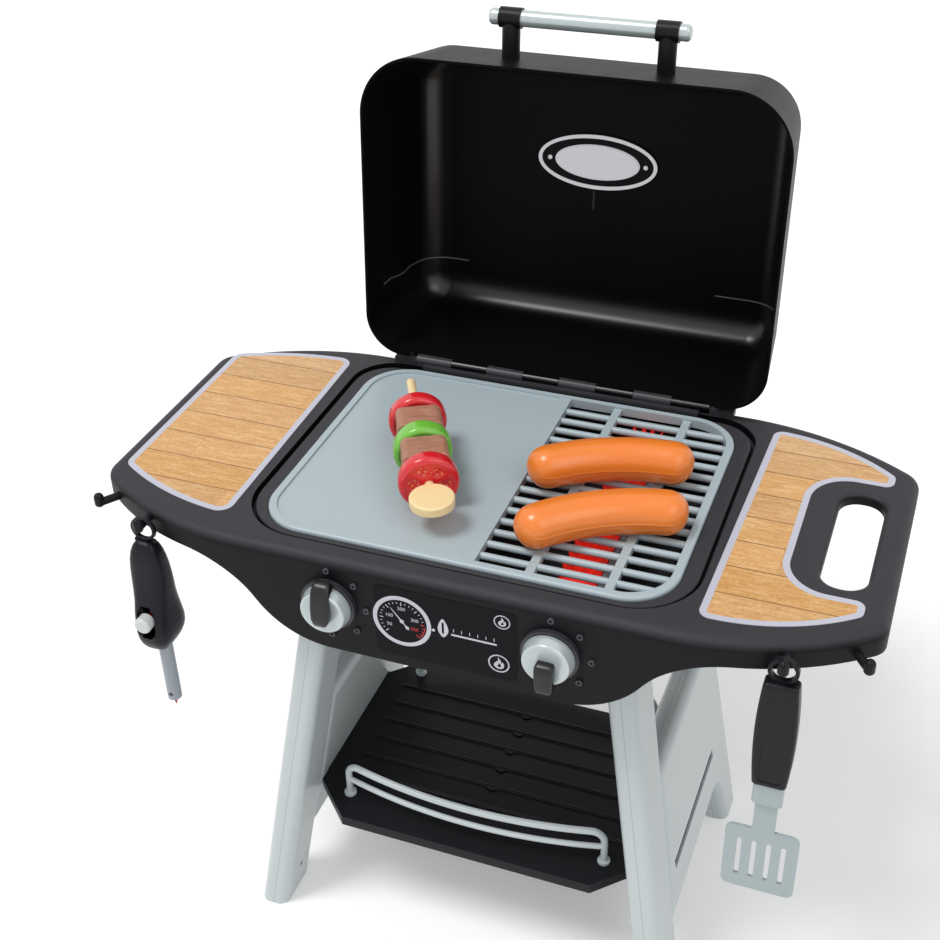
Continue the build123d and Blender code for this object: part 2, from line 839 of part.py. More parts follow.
def make_roller():
    """The dark core, the red flame comb on top of it and the grey ash cover beside the flames."""
    low_y = roller_front_y
    high_y = basin_half_y - basin_wall - roller_end_gap
    core = along_roller(Circle(roller_radius), low_y, high_y)
    core -= block((knob_x - drive_square / 2, low_y - overrun, knob_z - drive_square / 2),
                  (knob_x + drive_square / 2, low_y + drive_length + loose_fit, knob_z + drive_square / 2))
    end_y = basin_half_y + basin_wall
    core += rod((knob_x, high_y - overrun, knob_z), (knob_x, end_y, knob_z), journal_radius)
    outer = roller_radius + comb_thickness
    comb = sleeve(roller_radius, outer, 90 - comb_half_angle, 2 * comb_half_angle, low_y, high_y)
    for y in gap_lines():
        comb += along_roller(tooth_row(), y - tooth_depth / 2, y + tooth_depth / 2)
    end = 90 - comb_half_angle - ash_cover_gap_angle
    cover = sleeve(roller_radius, outer, end - ash_cover_angle, ash_cover_angle, low_y, high_y)
    return core, comb, cover


# Hooks

def hook_places():
    """Base point on the skirt and outward direction of the four hooks."""
    places = []
    for side in (-1, 1):
        for x, z, straight in ((tool_hook_x, tool_hook_z, True), (corner_hook_x, corner_hook_z, False)):
            across = x - front_flat
            y = front_y + front_bow_radius - sqrt(front_bow_radius**2 - across**2)
            turn = 0 if straight else asin(across / front_bow_radius)
            places.append(((side * x, y, z), (side * sin(turn), -cos(turn), 0)))
    return places


def hook_peg(place, gap):
    """The hook's root that passes through the skirt."""
    base, way = place
    start = [b - w * (deck_wall + hook_root) for b, w in zip(base, way)]
    end = [b + w * overrun for b, w in zip(base, way)]
    return rod(start, end, hook_radius + gap)


def make_hook(place):
    """One black hook: a peg through the skirt, a round arm and a thicker turned-up end."""
    base, way = place
    tip = [b + w * hook_reach for b, w in zip(base, way)]
    low = (tip[0], tip[1], tip[2] - hook_radius)
    top = (tip[0], tip[1], tip[2] + hook_tip_rise)
    hook = hook_peg(place, 0) + rod(base, tip, hook_radius)
    end = fillet(rod(low, top, hook_tip_radius).edges().group_by(Axis.Z)[0], hook_radius - loose_fit)
    return hook + end + Pos(*top) * Sphere(hook_tip_radius)


# Hinge

def knuckle(index, gap, bottom_z):
    """One hinge barrel by its place in the row, flat below a height."""
    start = (index - knuckle_count / 2) * knuckle_length + gap / 2
    end = start + knuckle_length - gap
    barrel = rod((start, hinge_y, hinge_z), (end, hinge_y, hinge_z), knuckle_radius)
    return barrel - block((start - overrun, hinge_y - 2 * knuckle_radius, bottom_z - 2 * knuckle_radius),
                          (end + overrun, hinge_y + 2 * knuckle_radius, bottom_z))


def pin_bore(gap):
    """The hinge pin's length, wider by a gap."""
    reach = knuckle_length * knuckle_count / 2
    return rod((-reach, hinge_y, hinge_z), (reach, hinge_y, hinge_z), pin_radius + gap)


def hinge_end():
    """The raised block that closes the right end of the hinge, sloping down at its outer end."""
    start = knuckle_length * knuckle_count / 2 + knuckle_gap
    top = hinge_end_top_z
    end = block((start, hinge_y - knuckle_radius, 0), (hinge_end_half_x, hinge_y + hinge_end_depth, top))
    corner = [(hinge_end_half_x - hinge_end_slope, top), (hinge_end_half_x + overrun, top),
              (hinge_end_half_x + overrun, 0), (hinge_end_half_x, 0)]
    wedge = make_face(Polyline(*corner, close=True))
    return end - extrude(Pos(0, hinge_y, 0) * Plane.XZ * wedge, 2 * hinge_end_depth, both=True)


def make_hinge_rail():
    """The strip behind the cooking plate: every other knuckle and a raised block at each end."""
    root_y = hinge_y - knuckle_radius
    rail = block((-hinge_rail_half_x, hinge_rail_front_y, 0), (hinge_rail_half_x, root_y, hinge_rail_height))
    rail += block((-hinge_end_half_x + hinge_end_slope, root_y - rest_gap, 0),
                  (hinge_end_half_x - hinge_end_slope, root_y + knuckle_radius, hinge_z - knuckle_radius))
    for index in range(0, knuckle_count, 2):
        start = (index - knuckle_count / 2) * knuckle_length + knuckle_gap / 2
        end = start + knuckle_length - knuckle_gap
        rail += knuckle(index, knuckle_gap, 0)
        rail += block((start, root_y - rest_gap, 0),
                      (end, hinge_y + knuckle_radius / 2, hinge_z - pin_radius))
    end = hinge_end()
    rail += end
    rail += mirrored(end)
    return rail - pin_bore(running_fit)


# Lid

def opened(shape):
    """Swing a piece of the shut lid about the hinge to the open rest place."""
    return Pos(0, hinge_y, hinge_z) * Rot(-open_angle, 0, 0) * Pos(0, -hinge_y, -hinge_z) * shape


def lid_body(inset):
    """The shut lid as a solid block with a rolled top edge, drawn in by a wall."""
    gap = lid_groove_gap + inset
    outline = rounded(well_half_x - gap, well_front_y + gap, well_back_y - gap, well_corner_radius - gap,
                      well_back_radius - gap)
    body = Pos(0, 0, lid_rim_z) * extrude(outline, lid_height - inset - lid_rim_z, taper=lid_taper)
    return fillet(body.faces().sort_by(Axis.Z)[-1].edges(), lid_edge_radius - inset)


def make_lid_shell():
    """The glossy hood with its hinge barrels and screw bores, shut."""
    room = block((-half_width, -half_width, lid_rim_z), (half_width, half_width, lid_height))
    shell = lid_body(0) - (lid_body(lid_wall) & room)
    shell -= block((-lid_notch_half_x, well_back_y - lid_notch_reach, lid_rim_z - overrun),
                   (lid_notch_half_x, well_back_y + overrun, lid_notch_top_z))
    wall_y = well_back_y - lid_groove_gap - lid_wall
    for index in range(1, knuckle_count, 2):
        start = (index - knuckle_count / 2) * knuckle_length + knuckle_gap / 2
        end = start + knuckle_length - knuckle_gap
        shell += knuckle(index, knuckle_gap, hinge_z - knuckle_radius)
        shell += block((start, wall_y + lid_wall / 2, lid_notch_top_z),
                       (end, hinge_y, lid_notch_top_z + lid_tab_thickness))
    shell -= pin_bore(running_fit)
    for side in (-1, 1):
        x = side * handle_post_x
        shell -= rod((x, lid_front_y - overrun, handle_z), (x, lid_front_y + handle_screw_length, handle_z),
                     handle_screw_radius + frame_screw_gap)
    return shell


def make_lid_handle():
    """The grip bar on two posts on the lid's front, with screws from inside, all shut."""
    seat_y = lid_front_y + (handle_z - lid_rim_z) * lid_slope
    bar_y = lid_front_y - handle_standoff
    reach = handle_post_x + handle_bar_overhang
    bar = rod((-reach, bar_y, handle_z), (reach, bar_y, handle_z), handle_bar_radius)
    bar = fillet(bar.edges(), handle_bar_end_radius)
    posts, screws = [], []
    for side in (-1, 1):
        x = side * handle_post_x
        post = rod((x, seat_y + lid_wall, handle_z), (x, bar_y, handle_z), handle_post_radius) - lid_body(0)
        half_clamp = handle_post_radius + handle_screw_radius
        post += rod((x - half_clamp, bar_y, handle_z), (x + half_clamp, bar_y, handle_z),
                    handle_bar_radius + handle_screw_radius)
        post -= rod((-reach, bar_y, handle_z), (reach, bar_y, handle_z), handle_bar_radius)
        post -= rod((x, seat_y + overrun, handle_z), (x, seat_y - handle_screw_length, handle_z),
                    handle_screw_radius + frame_screw_gap)
        posts.append(post)
        inside = seat_y + lid_wall + handle_screw_head_radius * lid_slope
        head_y = inside + handle_screw_head_height
        screw = rod((x, inside, handle_z), (x, head_y, handle_z), handle_screw_head_radius)
        screw += rod((x, inside, handle_z), (x, inside - handle_screw_length, handle_z), handle_screw_radius)
        screws.append(screw)
    return bar, posts, screws


def make_badge():
    """The oval badge on the lid's inside: a dark plate, a bright ring and a bright centre panel, shut."""
    place = Pos(badge_x, badge_y, ceiling_z) * Rot(180, 0, 0)
    plate = place * extrude(Ellipse(badge_half_x, badge_half_y), badge_thickness)
    on_plate = place * Pos(0, 0, badge_thickness)
    hole = Ellipse(badge_half_x - badge_trim_width, badge_half_y - badge_trim_width)
    ring = on_plate * extrude(Ellipse(badge_half_x, badge_half_y) - hole, badge_trim_height)
    panel = on_plate * extrude(Ellipse(badge_panel_half_x, badge_panel_half_y), badge_trim_height)
    return plate, [ring, panel]


# Side frames

def frame_plane():
    """The right frame's middle plane: it leans outwards towards the floor, and its y runs up the slope."""
    return Plane(origin=(frame_x, 0, 0), x_dir=(0, 1, 0), z_dir=(cos(tilt), 0, sin(tilt)))


def on_slope(y, z):
    """A point of the frame's outline from its place along the object and its height."""
    return (y, z / cos(tilt))


def leg_line(top_y, foot_y, z):
    """Where a leg's edge is at a height, on the straight line from its top to its foot."""
    share = (z - basin_bottom_z) / (-deck_height - basin_bottom_z)
    return top_y + (foot_y - top_y) * share


def frame_faces():
    """Past the cuts at top and foot: the front leg, and the rear leg with the broad panel beside it."""
    high = basin_bottom_z + leg_overrun
    low = -deck_height - leg_overrun
    start = front_leg_width - crease_overlap

    def front(z, across=0.0):
        return on_slope(leg_line(front_leg_top_y, front_leg_foot_y, z) + across, z)

    def rear(z, across=0.0):
        return on_slope(leg_line(rear_leg_top_y, rear_leg_foot_y, z) - across, z)

    leg = [front(high), front(low), front(low, front_leg_width), front(high, front_leg_width)]
    panel = [
        front(crest_z, start),
        front(arch_z, start),
        rear(arch_z, rear_leg_width + arch_rear_flare),
        rear(low, rear_leg_width),
        rear(low),
        rear(high),
        rear(high, rear_leg_width),
        rear(crest_z, rear_leg_width),
    ]
    face = make_face(Polyline(*panel, close=True))
    crest = crest_z / cos(tilt)
    arch = arch_z / cos(tilt)
    window = [v for v in face.vertices() if abs(v.Y - crest) < running_fit and v.X > 0]
    face = fillet(window, window_corner_radius)
    foot = [v for v in face.vertices() if abs(v.Y - arch) < running_fit and v.X > 0]
    return [make_face(Polyline(*leg, close=True)), fillet(foot, arch_corner_radius)]


def cushion(inset, way):
    """A frame half as a solid with rolled edges, drawn in by a wall. The front leg stands out of the panel."""
    solids = []
    for face in frame_faces():
        drawn = offset(face, -inset) if inset else face
        solid = extrude(drawn, way * (frame_half_thickness - inset))
        top = solid.faces().sort_by(Axis.Z)[-1 if way > 0 else 0]
        solids.append(fillet(top.edges(), frame_edge_radius - inset))
    return solids[0] + solids[1]


def between_heights(shape, low_z, high_z):
    """Keep what lies between two level planes."""
    reach = 2 * half_width
    return shape & block((-reach, -reach, low_z), (reach, reach, high_z))


def frame_boss_places():
    """Where screws hold the two halves together, as (y, z)."""
    mid_front = front_leg_width / 2
    mid_rear = rear_leg_width / 2
    foot_z = (arch_z - deck_height) / 2
    high_z = basin_bottom_z - frame_screw_drop
    places = []
    for z in (high_z, foot_z):
        places.append((leg_line(front_leg_top_y, front_leg_foot_y, z) + mid_front, z))
        places.append((leg_line(rear_leg_top_y, rear_leg_foot_y, z) - mid_rear, z))
    return places


def frame_half(way):
    """The outer (way = 1) or inner (way = -1) half of the right side frame: a hollow moulding."""
    plane = frame_plane()
    depth = frame_half_thickness - frame_wall
    outer = between_heights(plane * cushion(0, way), -deck_height, basin_bottom_z)
    inner = between_heights(plane * cushion(frame_wall, way), -deck_height + foot_end_wall,
                            basin_bottom_z - foot_end_wall)
    half = outer - inner
    head_room = frame_screw_head_height + frame_screw_gap
    for y, z in frame_boss_places():
        v = z / cos(tilt)
        boss = extrude(Pos(y, v) * Circle(frame_boss_radius), way * (frame_half_thickness - frame_wall / 2))
        half += plane * boss
        shank = extrude(Pos(y, v) * Circle(frame_screw_radius + frame_screw_gap), way * depth)
        half -= plane * shank
        if way < 0:
            through = Pos(y, v) * Circle(frame_screw_radius + frame_screw_gap)
            through = extrude(through, way * 2 * frame_half_thickness)
            seat = Pos(y, v, -frame_half_thickness - overrun)
            seat = extrude(seat * Circle(frame_screw_head_radius + frame_screw_gap), overrun + head_room)
            half -= plane * through
            half -= plane * seat
    half -= tongue_slot()
    for x, y in deck_screw_places():
        if x > 0:
            half -= rod((x, y, basin_bottom_z + overrun), (x, y, basin_bottom_z - deck_screw_length),
                        deck_screw_radius + frame_screw_gap)
    return half


def frame_screws():
    """Screws through the inner half into the outer half of the right frame."""
    plane = frame_plane()
    screws = []
    for y, z in frame_boss_places():
        v = z / cos(tilt)
        start = -frame_half_thickness + frame_screw_head_height
        head = Pos(y, v, -frame_half_thickness) * Circle(frame_screw_head_radius)
        head = extrude(head, frame_screw_head_height)
        length = frame_half_thickness - frame_wall - frame_screw_gap - start
        shank = extrude(Pos(y, v, start) * Circle(frame_screw_radius), length)
        screws.append(plane * (head + shank))
    return screws


def tongue_slot():
    """The slot through the right frame that takes the shelf's tongue."""
    top = shelf_z + tongue_gap
    return block((0, tongue_front_y - tongue_gap, top - tongue_thickness - 2 * tongue_gap),
                 (half_width, tongue_back_y + tongue_gap, top))


def deck_screw_places():
    """Where screws come down through the firebox's floor into the tops of the four legs."""
    lean = frame_x - basin_bottom_z * tan(tilt) - frame_half_thickness / 2
    front = front_leg_top_y + front_leg_width / 2
    rear = rear_leg_top_y - rear_leg_width / 2
    return [(side * lean, y) for side in (-1, 1) for y in (front, rear)]


def deck_screws():
    """The four screws that hold the frames under the firebox."""
    screws = []
    for x, y in deck_screw_places():
        seat = (x, y, basin_floor_z)
        head = rod(seat, (x, y, basin_floor_z + deck_screw_head_height), deck_screw_head_radius)
        shank = rod(seat, (x, y, basin_floor_z - deck_screw_length + overrun), deck_screw_radius)
        screws.append(head + shank)
    return screws


def make_frames():
    """Both side frames and their screws."""
    for way, half in ((1, "outer"), (-1, "inner")):
        right = frame_half(way)
        keep(f"side_frame_right_{half}", right)
        keep(f"side_frame_left_{half}", mirrored(right))
    screws = frame_screws()
    keep("frame_screws", group(screws + [mirrored(screw) for screw in screws]))
    keep("deck_screws", group(deck_screws()))


# Lower shelf

def inner_face_x(z):
    """The distance of a frame's inner face from the middle at a height."""
    return frame_x - z * tan(tilt) - frame_half_thickness / cos(tilt)


def tray_outline(inset):
    """The shelf's outline with its clipped corners."""
    x = inner_face_x(shelf_z) - shelf_side_gap - inset
    front = shelf_front_y + inset
    back = shelf_back_y - inset
    points = [
        (-x + shelf_front_chamfer, front), (x - shelf_front_chamfer, front), (x, front + shelf_front_chamfer),
        (x, back - shelf_back_chamfer), (x - shelf_back_chamfer, back), (-x + shelf_back_chamfer, back),
        (-x, back - shelf_back_chamfer), (-x, front + shelf_front_chamfer),
    ]
    return make_face(Polyline(*points, close=True))


def make_tray():
    """The black shelf: a shallow upside-down tray with raised ribs and a tongue into each side frame."""
    bottom = shelf_z - shelf_skirt
    tray = slab(tray_outline(0), bottom, shelf_z)
    tray -= slab(tray_outline(shelf_thickness), bottom - overrun, shelf_z - shelf_thickness)
    for step in range(tray_rib_count):
        y = tray_rib_back_y - step * tray_rib_pitch
        crown_z = shelf_z + tray_rib_height - tray_rib_radius
        tray += rod((-tray_rib_half_x, y, crown_z), (tray_rib_half_x, y, crown_z), tray_rib_radius)
        root_z = shelf_z - shelf_thickness / 2
        tray += rod((0, y, root_z), (0, y, shelf_z + tray_boss_height), tray_boss_radius)
    for side in (-1, 1):
        middle = shelf_z - tongue_thickness / 2
        root = inner_face_x(shelf_z) - shelf_side_gap - shelf_thickness
        reach_top = inner_face_x(shelf_z) + 2 * frame_half_thickness / cos(tilt) - tongue_recess
        low = (min(side * root, side * reach_top), tongue_front_y, middle - tongue_thickness / 2)
        high = (max(side * root, side * reach_top), tongue_back_y, middle + tongue_thickness / 2)
        tray += block(low, high)
    return tray


def make_rail(y, way):
    """One light-grey rail on the shelf: two posts with round feet and two bars that bow outwards."""
    top_z = shelf_z + rail_height
    low_z = shelf_z + rail_low_height
    bend_z = top_z - rail_bend_radius
    turn = radians(rail_start_angle)
    run_x = rail_bend_radius * cos(turn)
    run_y = way * rail_bend_radius * sin(turn)
    knee = rail_bend_radius * sin(pi / 4)
    knee_share = (rail_bend_radius - knee) / rail_bend_radius
    bent_x = rail_x - run_x
    middle_y = y + run_y + way * bent_x * tan(turn / 2)

    def bend(side):
        """The bend on top of a post, from the post to the bar."""
        return ThreePointArc((side * rail_x, y, bend_z),
                             (side * (rail_x - run_x * knee_share), y + run_y * knee_share, bend_z + knee),
                             (side * bent_x, y + run_y, top_z))

    path = Wire([
        Line((-rail_x, y, shelf_z), (-rail_x, y, bend_z)),
        bend(-1),
        ThreePointArc((-bent_x, y + run_y, top_z), (0, middle_y, top_z), (bent_x, y + run_y, top_z)),
        bend(1),
        Line((rail_x, y, bend_z), (rail_x, y, shelf_z)),
    ])
    rail = sweep(Plane(origin=(-rail_x, y, shelf_z), z_dir=(0, 0, 1)) * Circle(rail_radius), path)
    low = ThreePointArc((-rail_x, y, low_z), (0, middle_y, low_z), (rail_x, y, low_z))
    rail += sweep(Plane(origin=low @ 0, z_dir=low % 0) * Circle(rail_low_radius), low)
    for side in (-1, 1):
        x = side * rail_x
        rail += rod((x, y, shelf_z), (x, y, shelf_z + rail_foot_height), rail_foot_radius)
    return rail


# Food

def make_sausage(ends):
    """A bowed sausage with round ends, resting on the bars."""
    (x1, y1), (x2, y2) = ends
    z = bar_top_z + rest_gap + sausage_radius
    length = sqrt((x2 - x1)**2 + (y2 - y1)**2)
    across = (-(y2 - y1) / length, (x2 - x1) / length)
    middle = ((x1 + x2) / 2 + across[0] * sausage_bow, (y1 + y2) / 2 + across[1] * sausage_bow, z)
    path = ThreePointArc((x1, y1, z), middle, (x2, y2, z))
    start = Plane(origin=(x1, y1, z), z_dir=path % 0)
    body = sweep(start * Circle(sausage_radius), path)
    body += Pos(x1, y1, z) * Sphere(sausage_radius)
    body += Pos(x2, y2, z) * Sphere(sausage_radius)
    return body


def skewer_place(distance):
    """The frame of the skewer at a distance from the first meat cube's middle, with z along the stick."""
    dx, dy = skewer_direction
    size = sqrt(dx * dx + dy * dy)
    x = skewer_centre[0] + dx / size * distance
    y = skewer_centre[1] + dy / size * distance
    return Plane(origin=(x, y, skewer_z), x_dir=(-dy, dx, 0), z_dir=(dx, dy, 0))


def disc_on_skewer(start, thickness, outer, edge):
    """A round slice threaded on the skewer from a start distance."""
    disc = extrude(Circle(outer) - Circle(stick_radius + slice_gap / 2), thickness)
    rims = [e for e in disc.edges() if e.geom_type == GeomType.CIRCLE and e.radius > outer / 2]
    return skewer_place(start) * fillet(rims, edge)


def cube_on_skewer(start):
    """A meat cube threaded on the skewer."""
    cube = Pos(0, 0, cube_length / 2) * Box(cube_side, cube_side, cube_length)
    cube = fillet(cube.edges().filter_by(Axis.Z), cube_edge_radius)
    cube = fillet(cube.faces().filter_by(Axis.Z).edges(), cube_end_radius)
    return skewer_place(start) * (cube - Cylinder(stick_radius + slice_gap / 2, 2 * cube_length))


def make_skewer():
    """Stick with a flat round grip, and the slices and cubes on it, in order from the tail."""
    half = cube_length / 2
    keep("meat_cube_rear", cube_on_skewer(-half))
    rear_start = -half - slice_gap - tomato_thickness
    keep("tomato_slice_rear", disc_on_skewer(rear_start, tomato_thickness, slice_radius, slice_edge_radius))
    pepper_start = half + slice_gap
    keep("pepper_ring", disc_on_skewer(pepper_start, pepper_thickness, slice_radius, slice_edge_radius))
    cube_start = pepper_start + pepper_thickness + slice_gap
    keep("meat_cube_front", cube_on_skewer(cube_start))
    tomato_start = cube_start + cube_length + slice_gap
    keep("tomato_slice_front", disc_on_skewer(tomato_start, tomato_thickness, slice_radius,
                                              slice_edge_radius))
    reach = grip_distance - grip_overlap
    stick = skewer_place(-stick_tail) * extrude(Circle(stick_radius), stick_tail + reach)
    grip = Pos(*skewer_place(grip_distance).origin) * Cylinder(grip_radius, grip_thickness)
    grip = fillet(grip.edges(), grip_edge_radius)
    keep("skewer_stick", stick + grip)


# Tools

def tool_eye(top_z):
    """The hanging eye of a tool, whose middle is the tool's own origin, with the web down to its handle."""
    half = ring_thickness / 2
    eye = rod((0, -half, 0), (0, half, 0), ring_outer_radius)
    eye += block((-neck_width / 2, -half, top_z - overrun),
                 (neck_width / 2, half, -(ring_outer_radius + ring_inner_radius) / 2))
    return eye - rod((0, -overrun, 0), (0, overrun, 0), ring_inner_radius)


def keep_tool(name, side, shape):
    """Hang a finished piece of a tool from its hook and write its file."""
    keep(name, Pos(side * tool_hook_x, tool_y, ring_z) * shape)


def igniter_body():
    """The lighter's handle as one solid: narrow at the top, leaning out in front and swelling behind."""
    points = [
        (igniter_front_top_y, igniter_top_z),
        (igniter_back_top_y, igniter_top_z),
        igniter_back_waist,
        igniter_back_bulge,
        (igniter_back_heel_y, igniter_bottom_z),
        (igniter_chin_y, igniter_bottom_z),
        (igniter_front_y, igniter_bottom_z + 2 * igniter_edge_radius),
        igniter_front_shoulder,
        igniter_front_waist,
    ]
    face = make_face(Polyline(*points, close=True))
    face = fillet(face.vertices(), igniter_edge_radius)
    body = extrude(Plane.YZ * face, igniter_half_width, both=True)
    body = fillet(body.faces().filter_by(Axis.X).edges(), igniter_edge_radius - loose_fit)
    return body


def make_igniter():
    """The lighter: two handle shells, a tube, and a slider that carries the button and the flame rod."""
    body = igniter_body() + tool_eye(igniter_top_z)
    tube_top = igniter_bottom_z + tube_root
    tube_end = igniter_bottom_z - tube_length
    # Room for the tube, the slider and its pocket
    body -= rod((0, 0, tube_top), (0, 0, igniter_bottom_z - overrun), tube_radius)
    slot_half = flame_rod_radius + loose_fit
    body -= rod((0, 0, pocket_top_z), (0, 0, tube_top - overrun), slot_half)
    body -= block((-slot_half, igniter_front_y - overrun, pocket_top_z - pocket_length),
                  (slot_half, 0, pocket_top_z))
    pocket = Pos(0, pocket_top_z - pocket_length / 2) * SlotOverall(pocket_length, pocket_width, rotation=90)
    pocket = extrude(Plane.XZ * pocket, -igniter_front_y)
    body -= Pos(0, pocket_floor_y, 0) * pocket
    reach = -igniter_bottom_z + overrun
    keep_tool("igniter_shell_left", -1, body & block((-reach, -reach, -reach), (0, reach, ring_outer_radius)))
    keep_tool("igniter_shell_right", -1, body & block((0, -reach, -reach), (reach, reach, ring_outer_radius)))
    tube = rod((0, 0, tube_top), (0, 0, tube_end), tube_radius)
    tube -= rod((0, 0, tube_top + overrun), (0, 0, tube_end - overrun), tube_bore)
    window_z = tube_end + tube_window_rise
    tube -= rod((0, 0, window_z), (0, -2 * tube_radius, window_z), tube_window_radius)
    keep_tool("igniter_tube", -1, tube)
    slider = rod((0, 0, button_z), (0, 0, tube_end), flame_rod_radius)
    tip = Pos(0, 0, flame_tip_length / 2) * Cone(flame_rod_radius, running_fit, flame_tip_length)
    slider += Pos(0, 0, tube_end) * Rot(180, 0, 0) * tip
    cap_y = pocket_floor_y - rest_gap
    slider += rod((0, 0, button_z), (0, cap_y, button_z), flame_rod_radius)
    button = rod((0, cap_y, button_z), (0, button_front_y, button_z), button_radius)
    button = fillet(button.edges().group_by(Axis.Y)[0], button_dome)
    keep_tool("igniter_slider", -1, slider)
    keep_tool("igniter_button", -1, button)


def spatula_outline():
    """The spatula's handle from the front: a barrel shape."""
    end = spatula_end_half_width
    middle_z = (spatula_top_z + spatula_bottom_z) / 2
    edges = [
        Line((-end, spatula_top_z), (end, spatula_top_z)),
        ThreePointArc((end, spatula_top_z), (spatula_half_width, middle_z), (end, spatula_bottom_z)),
        Line((end, spatula_bottom_z), (-end, spatula_bottom_z)),
        ThreePointArc((-end, spatula_bottom_z), (-spatula_half_width, middle_z), (-end, spatula_top_z)),
    ]
    face = make_face(edges)
    return fillet(face.vertices(), spatula_edge_radius)


def make_spatula():
    """The spatula: a barrel handle with a hanging eye, and a slotted blade with a socket under the handle."""
    body = extrude(Plane.XZ * spatula_outline(), spatula_half_depth, both=True)
    body = fillet(body.faces().filter_by(Axis.Y).edges(), spatula_edge_radius - loose_fit)
    panel = block((-panel_half_width, -spatula_half_depth - overrun, panel_bottom_z),
                  (panel_half_width, panel_depth - spatula_half_depth, panel_top_z))
    body -= fillet(panel.edges().filter_by(Axis.Y), panel_corner)
    body += tool_eye(spatula_top_z)
    low_y = -blade_thickness / 2
    high_y = blade_thickness / 2
    root_top = spatula_bottom_z + blade_root
    gap = running_fit
    body -= block((-blade_neck_half_width - gap, low_y - gap, spatula_bottom_z - overrun),
                  (blade_neck_half_width + gap, high_y + gap, root_top + gap))
    neck_low = spatula_bottom_z - blade_neck_length
    blade = block((-blade_neck_half_width, low_y, neck_low - blade_corner_radius),
                  (blade_neck_half_width, high_y, root_top))
    socket = block((-socket_half_width, -socket_half_depth, spatula_bottom_z - socket_length),
                   (socket_half_width, socket_half_depth, spatula_bottom_z))
    rims = socket.edges().filter_by(Axis.Z) + socket.edges().group_by(Axis.Z)[0]
    socket = fillet(rims, spatula_edge_radius)
    blade += socket
    middle_z = neck_low - blade_length / 2
    outline = Pos(0, middle_z) * RectangleRounded(2 * blade_half_width, blade_length, blade_corner_radius)
    for step in range(blade_slot_count):
        across = (step - (blade_slot_count - 1) / 2) * 2 * blade_half_width / (blade_slot_count + 1)
        outline -= Pos(across, middle_z) * SlotOverall(blade_slot_length, blade_slot_width, rotation=90)
    blade += Pos(0, high_y, 0) * extrude(Plane.XZ * outline, blade_thickness)
    keep_tool("spatula_handle", 1, body)
    keep_tool("spatula_blade", 1, blade)


def main():
    """Build and write every piece."""
    os.makedirs("parts", exist_ok=True)
    deck = make_worktop()
    keep("worktop", deck)
    make_labels()
    keep("firebox", make_firebox())
    keep("cooking_plate", make_plate())
    wheel_reach = bezel_thickness + loose_fit + deck_wall + detent_thickness
    core, comb, cover = make_roller()
    keep("flame_roller", core)
    keep("flame_comb", comb)
    keep("ash_cover", cover)
    left = (-1, "left", left_lever_side, 0, wheel_reach + spindle_stub)
    right = (1, "right", right_lever_side, 180, roller_front_y - cap_back_y)
    for side, word, lever_side, turned, length in (left, right):
        cap, lever = make_knob(side, lever_side, turned)
        keep(f"knob_cap_{word}", cap)
        keep(f"knob_lever_{word}", lever)
        spindle = make_spindle(side, length)
        if side > 0:
            half = drive_square / 2 - running_fit
            spindle += block((knob_x - half, roller_front_y - overrun, knob_z - half),
                             (knob_x + half, roller_front_y + drive_length, knob_z + half))
        keep(f"knob_spindle_{word}", spindle)
        keep(f"knob_bezel_{word}", make_bezel(side))
        keep(f"click_leaf_{word}", make_click_leaf(side))
    names = ("tool_hook_left", "corner_hook_left", "tool_hook_right", "corner_hook_right")
    for name, place in zip(names, hook_places()):
        keep(name, make_hook(place))
    keep("hinge_rail", make_hinge_rail())
    keep("hinge_pin", pin_bore(0))
    keep("lid_shell", opened(make_lid_shell()))
    bar, posts, screws = make_lid_handle()
    keep("lid_handle_bar", opened(bar))
    keep("lid_handle_posts", group([opened(post) for post in posts]))
    keep("lid_handle_screws", group([opened(screw) for screw in screws]))
    plate, trim = make_badge()
    keep("lid_badge_plate", opened(plate))
    keep("lid_badge_trim", group([opened(piece) for piece in trim]))
    make_frames()
    keep("lower_shelf", make_tray())
    keep("shelf_rail_front", make_rail(rail_y, -1))
    keep("shelf_rail_rear", make_rail(rear_rail_y, 1))
    keep("sausage_front", make_sausage(front_sausage_ends))
    keep("sausage_rear", make_sausage(rear_sausage_ends))
    make_skewer()
    make_igniter()
    make_spatula()


main()
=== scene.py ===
import math

import bmesh
import bpy
from mathutils import Matrix, Vector


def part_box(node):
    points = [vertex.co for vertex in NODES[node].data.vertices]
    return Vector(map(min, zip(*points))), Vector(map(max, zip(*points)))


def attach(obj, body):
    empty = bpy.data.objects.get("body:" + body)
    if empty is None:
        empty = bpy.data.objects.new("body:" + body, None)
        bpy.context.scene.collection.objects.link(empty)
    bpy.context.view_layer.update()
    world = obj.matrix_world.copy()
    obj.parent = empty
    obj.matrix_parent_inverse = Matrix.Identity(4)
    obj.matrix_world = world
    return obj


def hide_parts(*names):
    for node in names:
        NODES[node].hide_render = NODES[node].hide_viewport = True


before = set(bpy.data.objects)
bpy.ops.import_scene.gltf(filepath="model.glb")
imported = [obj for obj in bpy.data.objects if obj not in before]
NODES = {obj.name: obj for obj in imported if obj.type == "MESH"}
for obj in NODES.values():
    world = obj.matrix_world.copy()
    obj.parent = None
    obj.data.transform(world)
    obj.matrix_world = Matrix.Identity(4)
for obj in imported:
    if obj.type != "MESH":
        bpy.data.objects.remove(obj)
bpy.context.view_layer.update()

bl_info = {
    "name": "Toy Grill Finish",
    "version": (1, 0, 0),
    "blender": (4, 5, 0),
    "location": "View3D > Sidebar > Toy Grill",
    "description": "Gives the packed toy grill its moulded plastics, stickers, play food and a plain studio",
    "category": "Object",
}

MM = 0.001

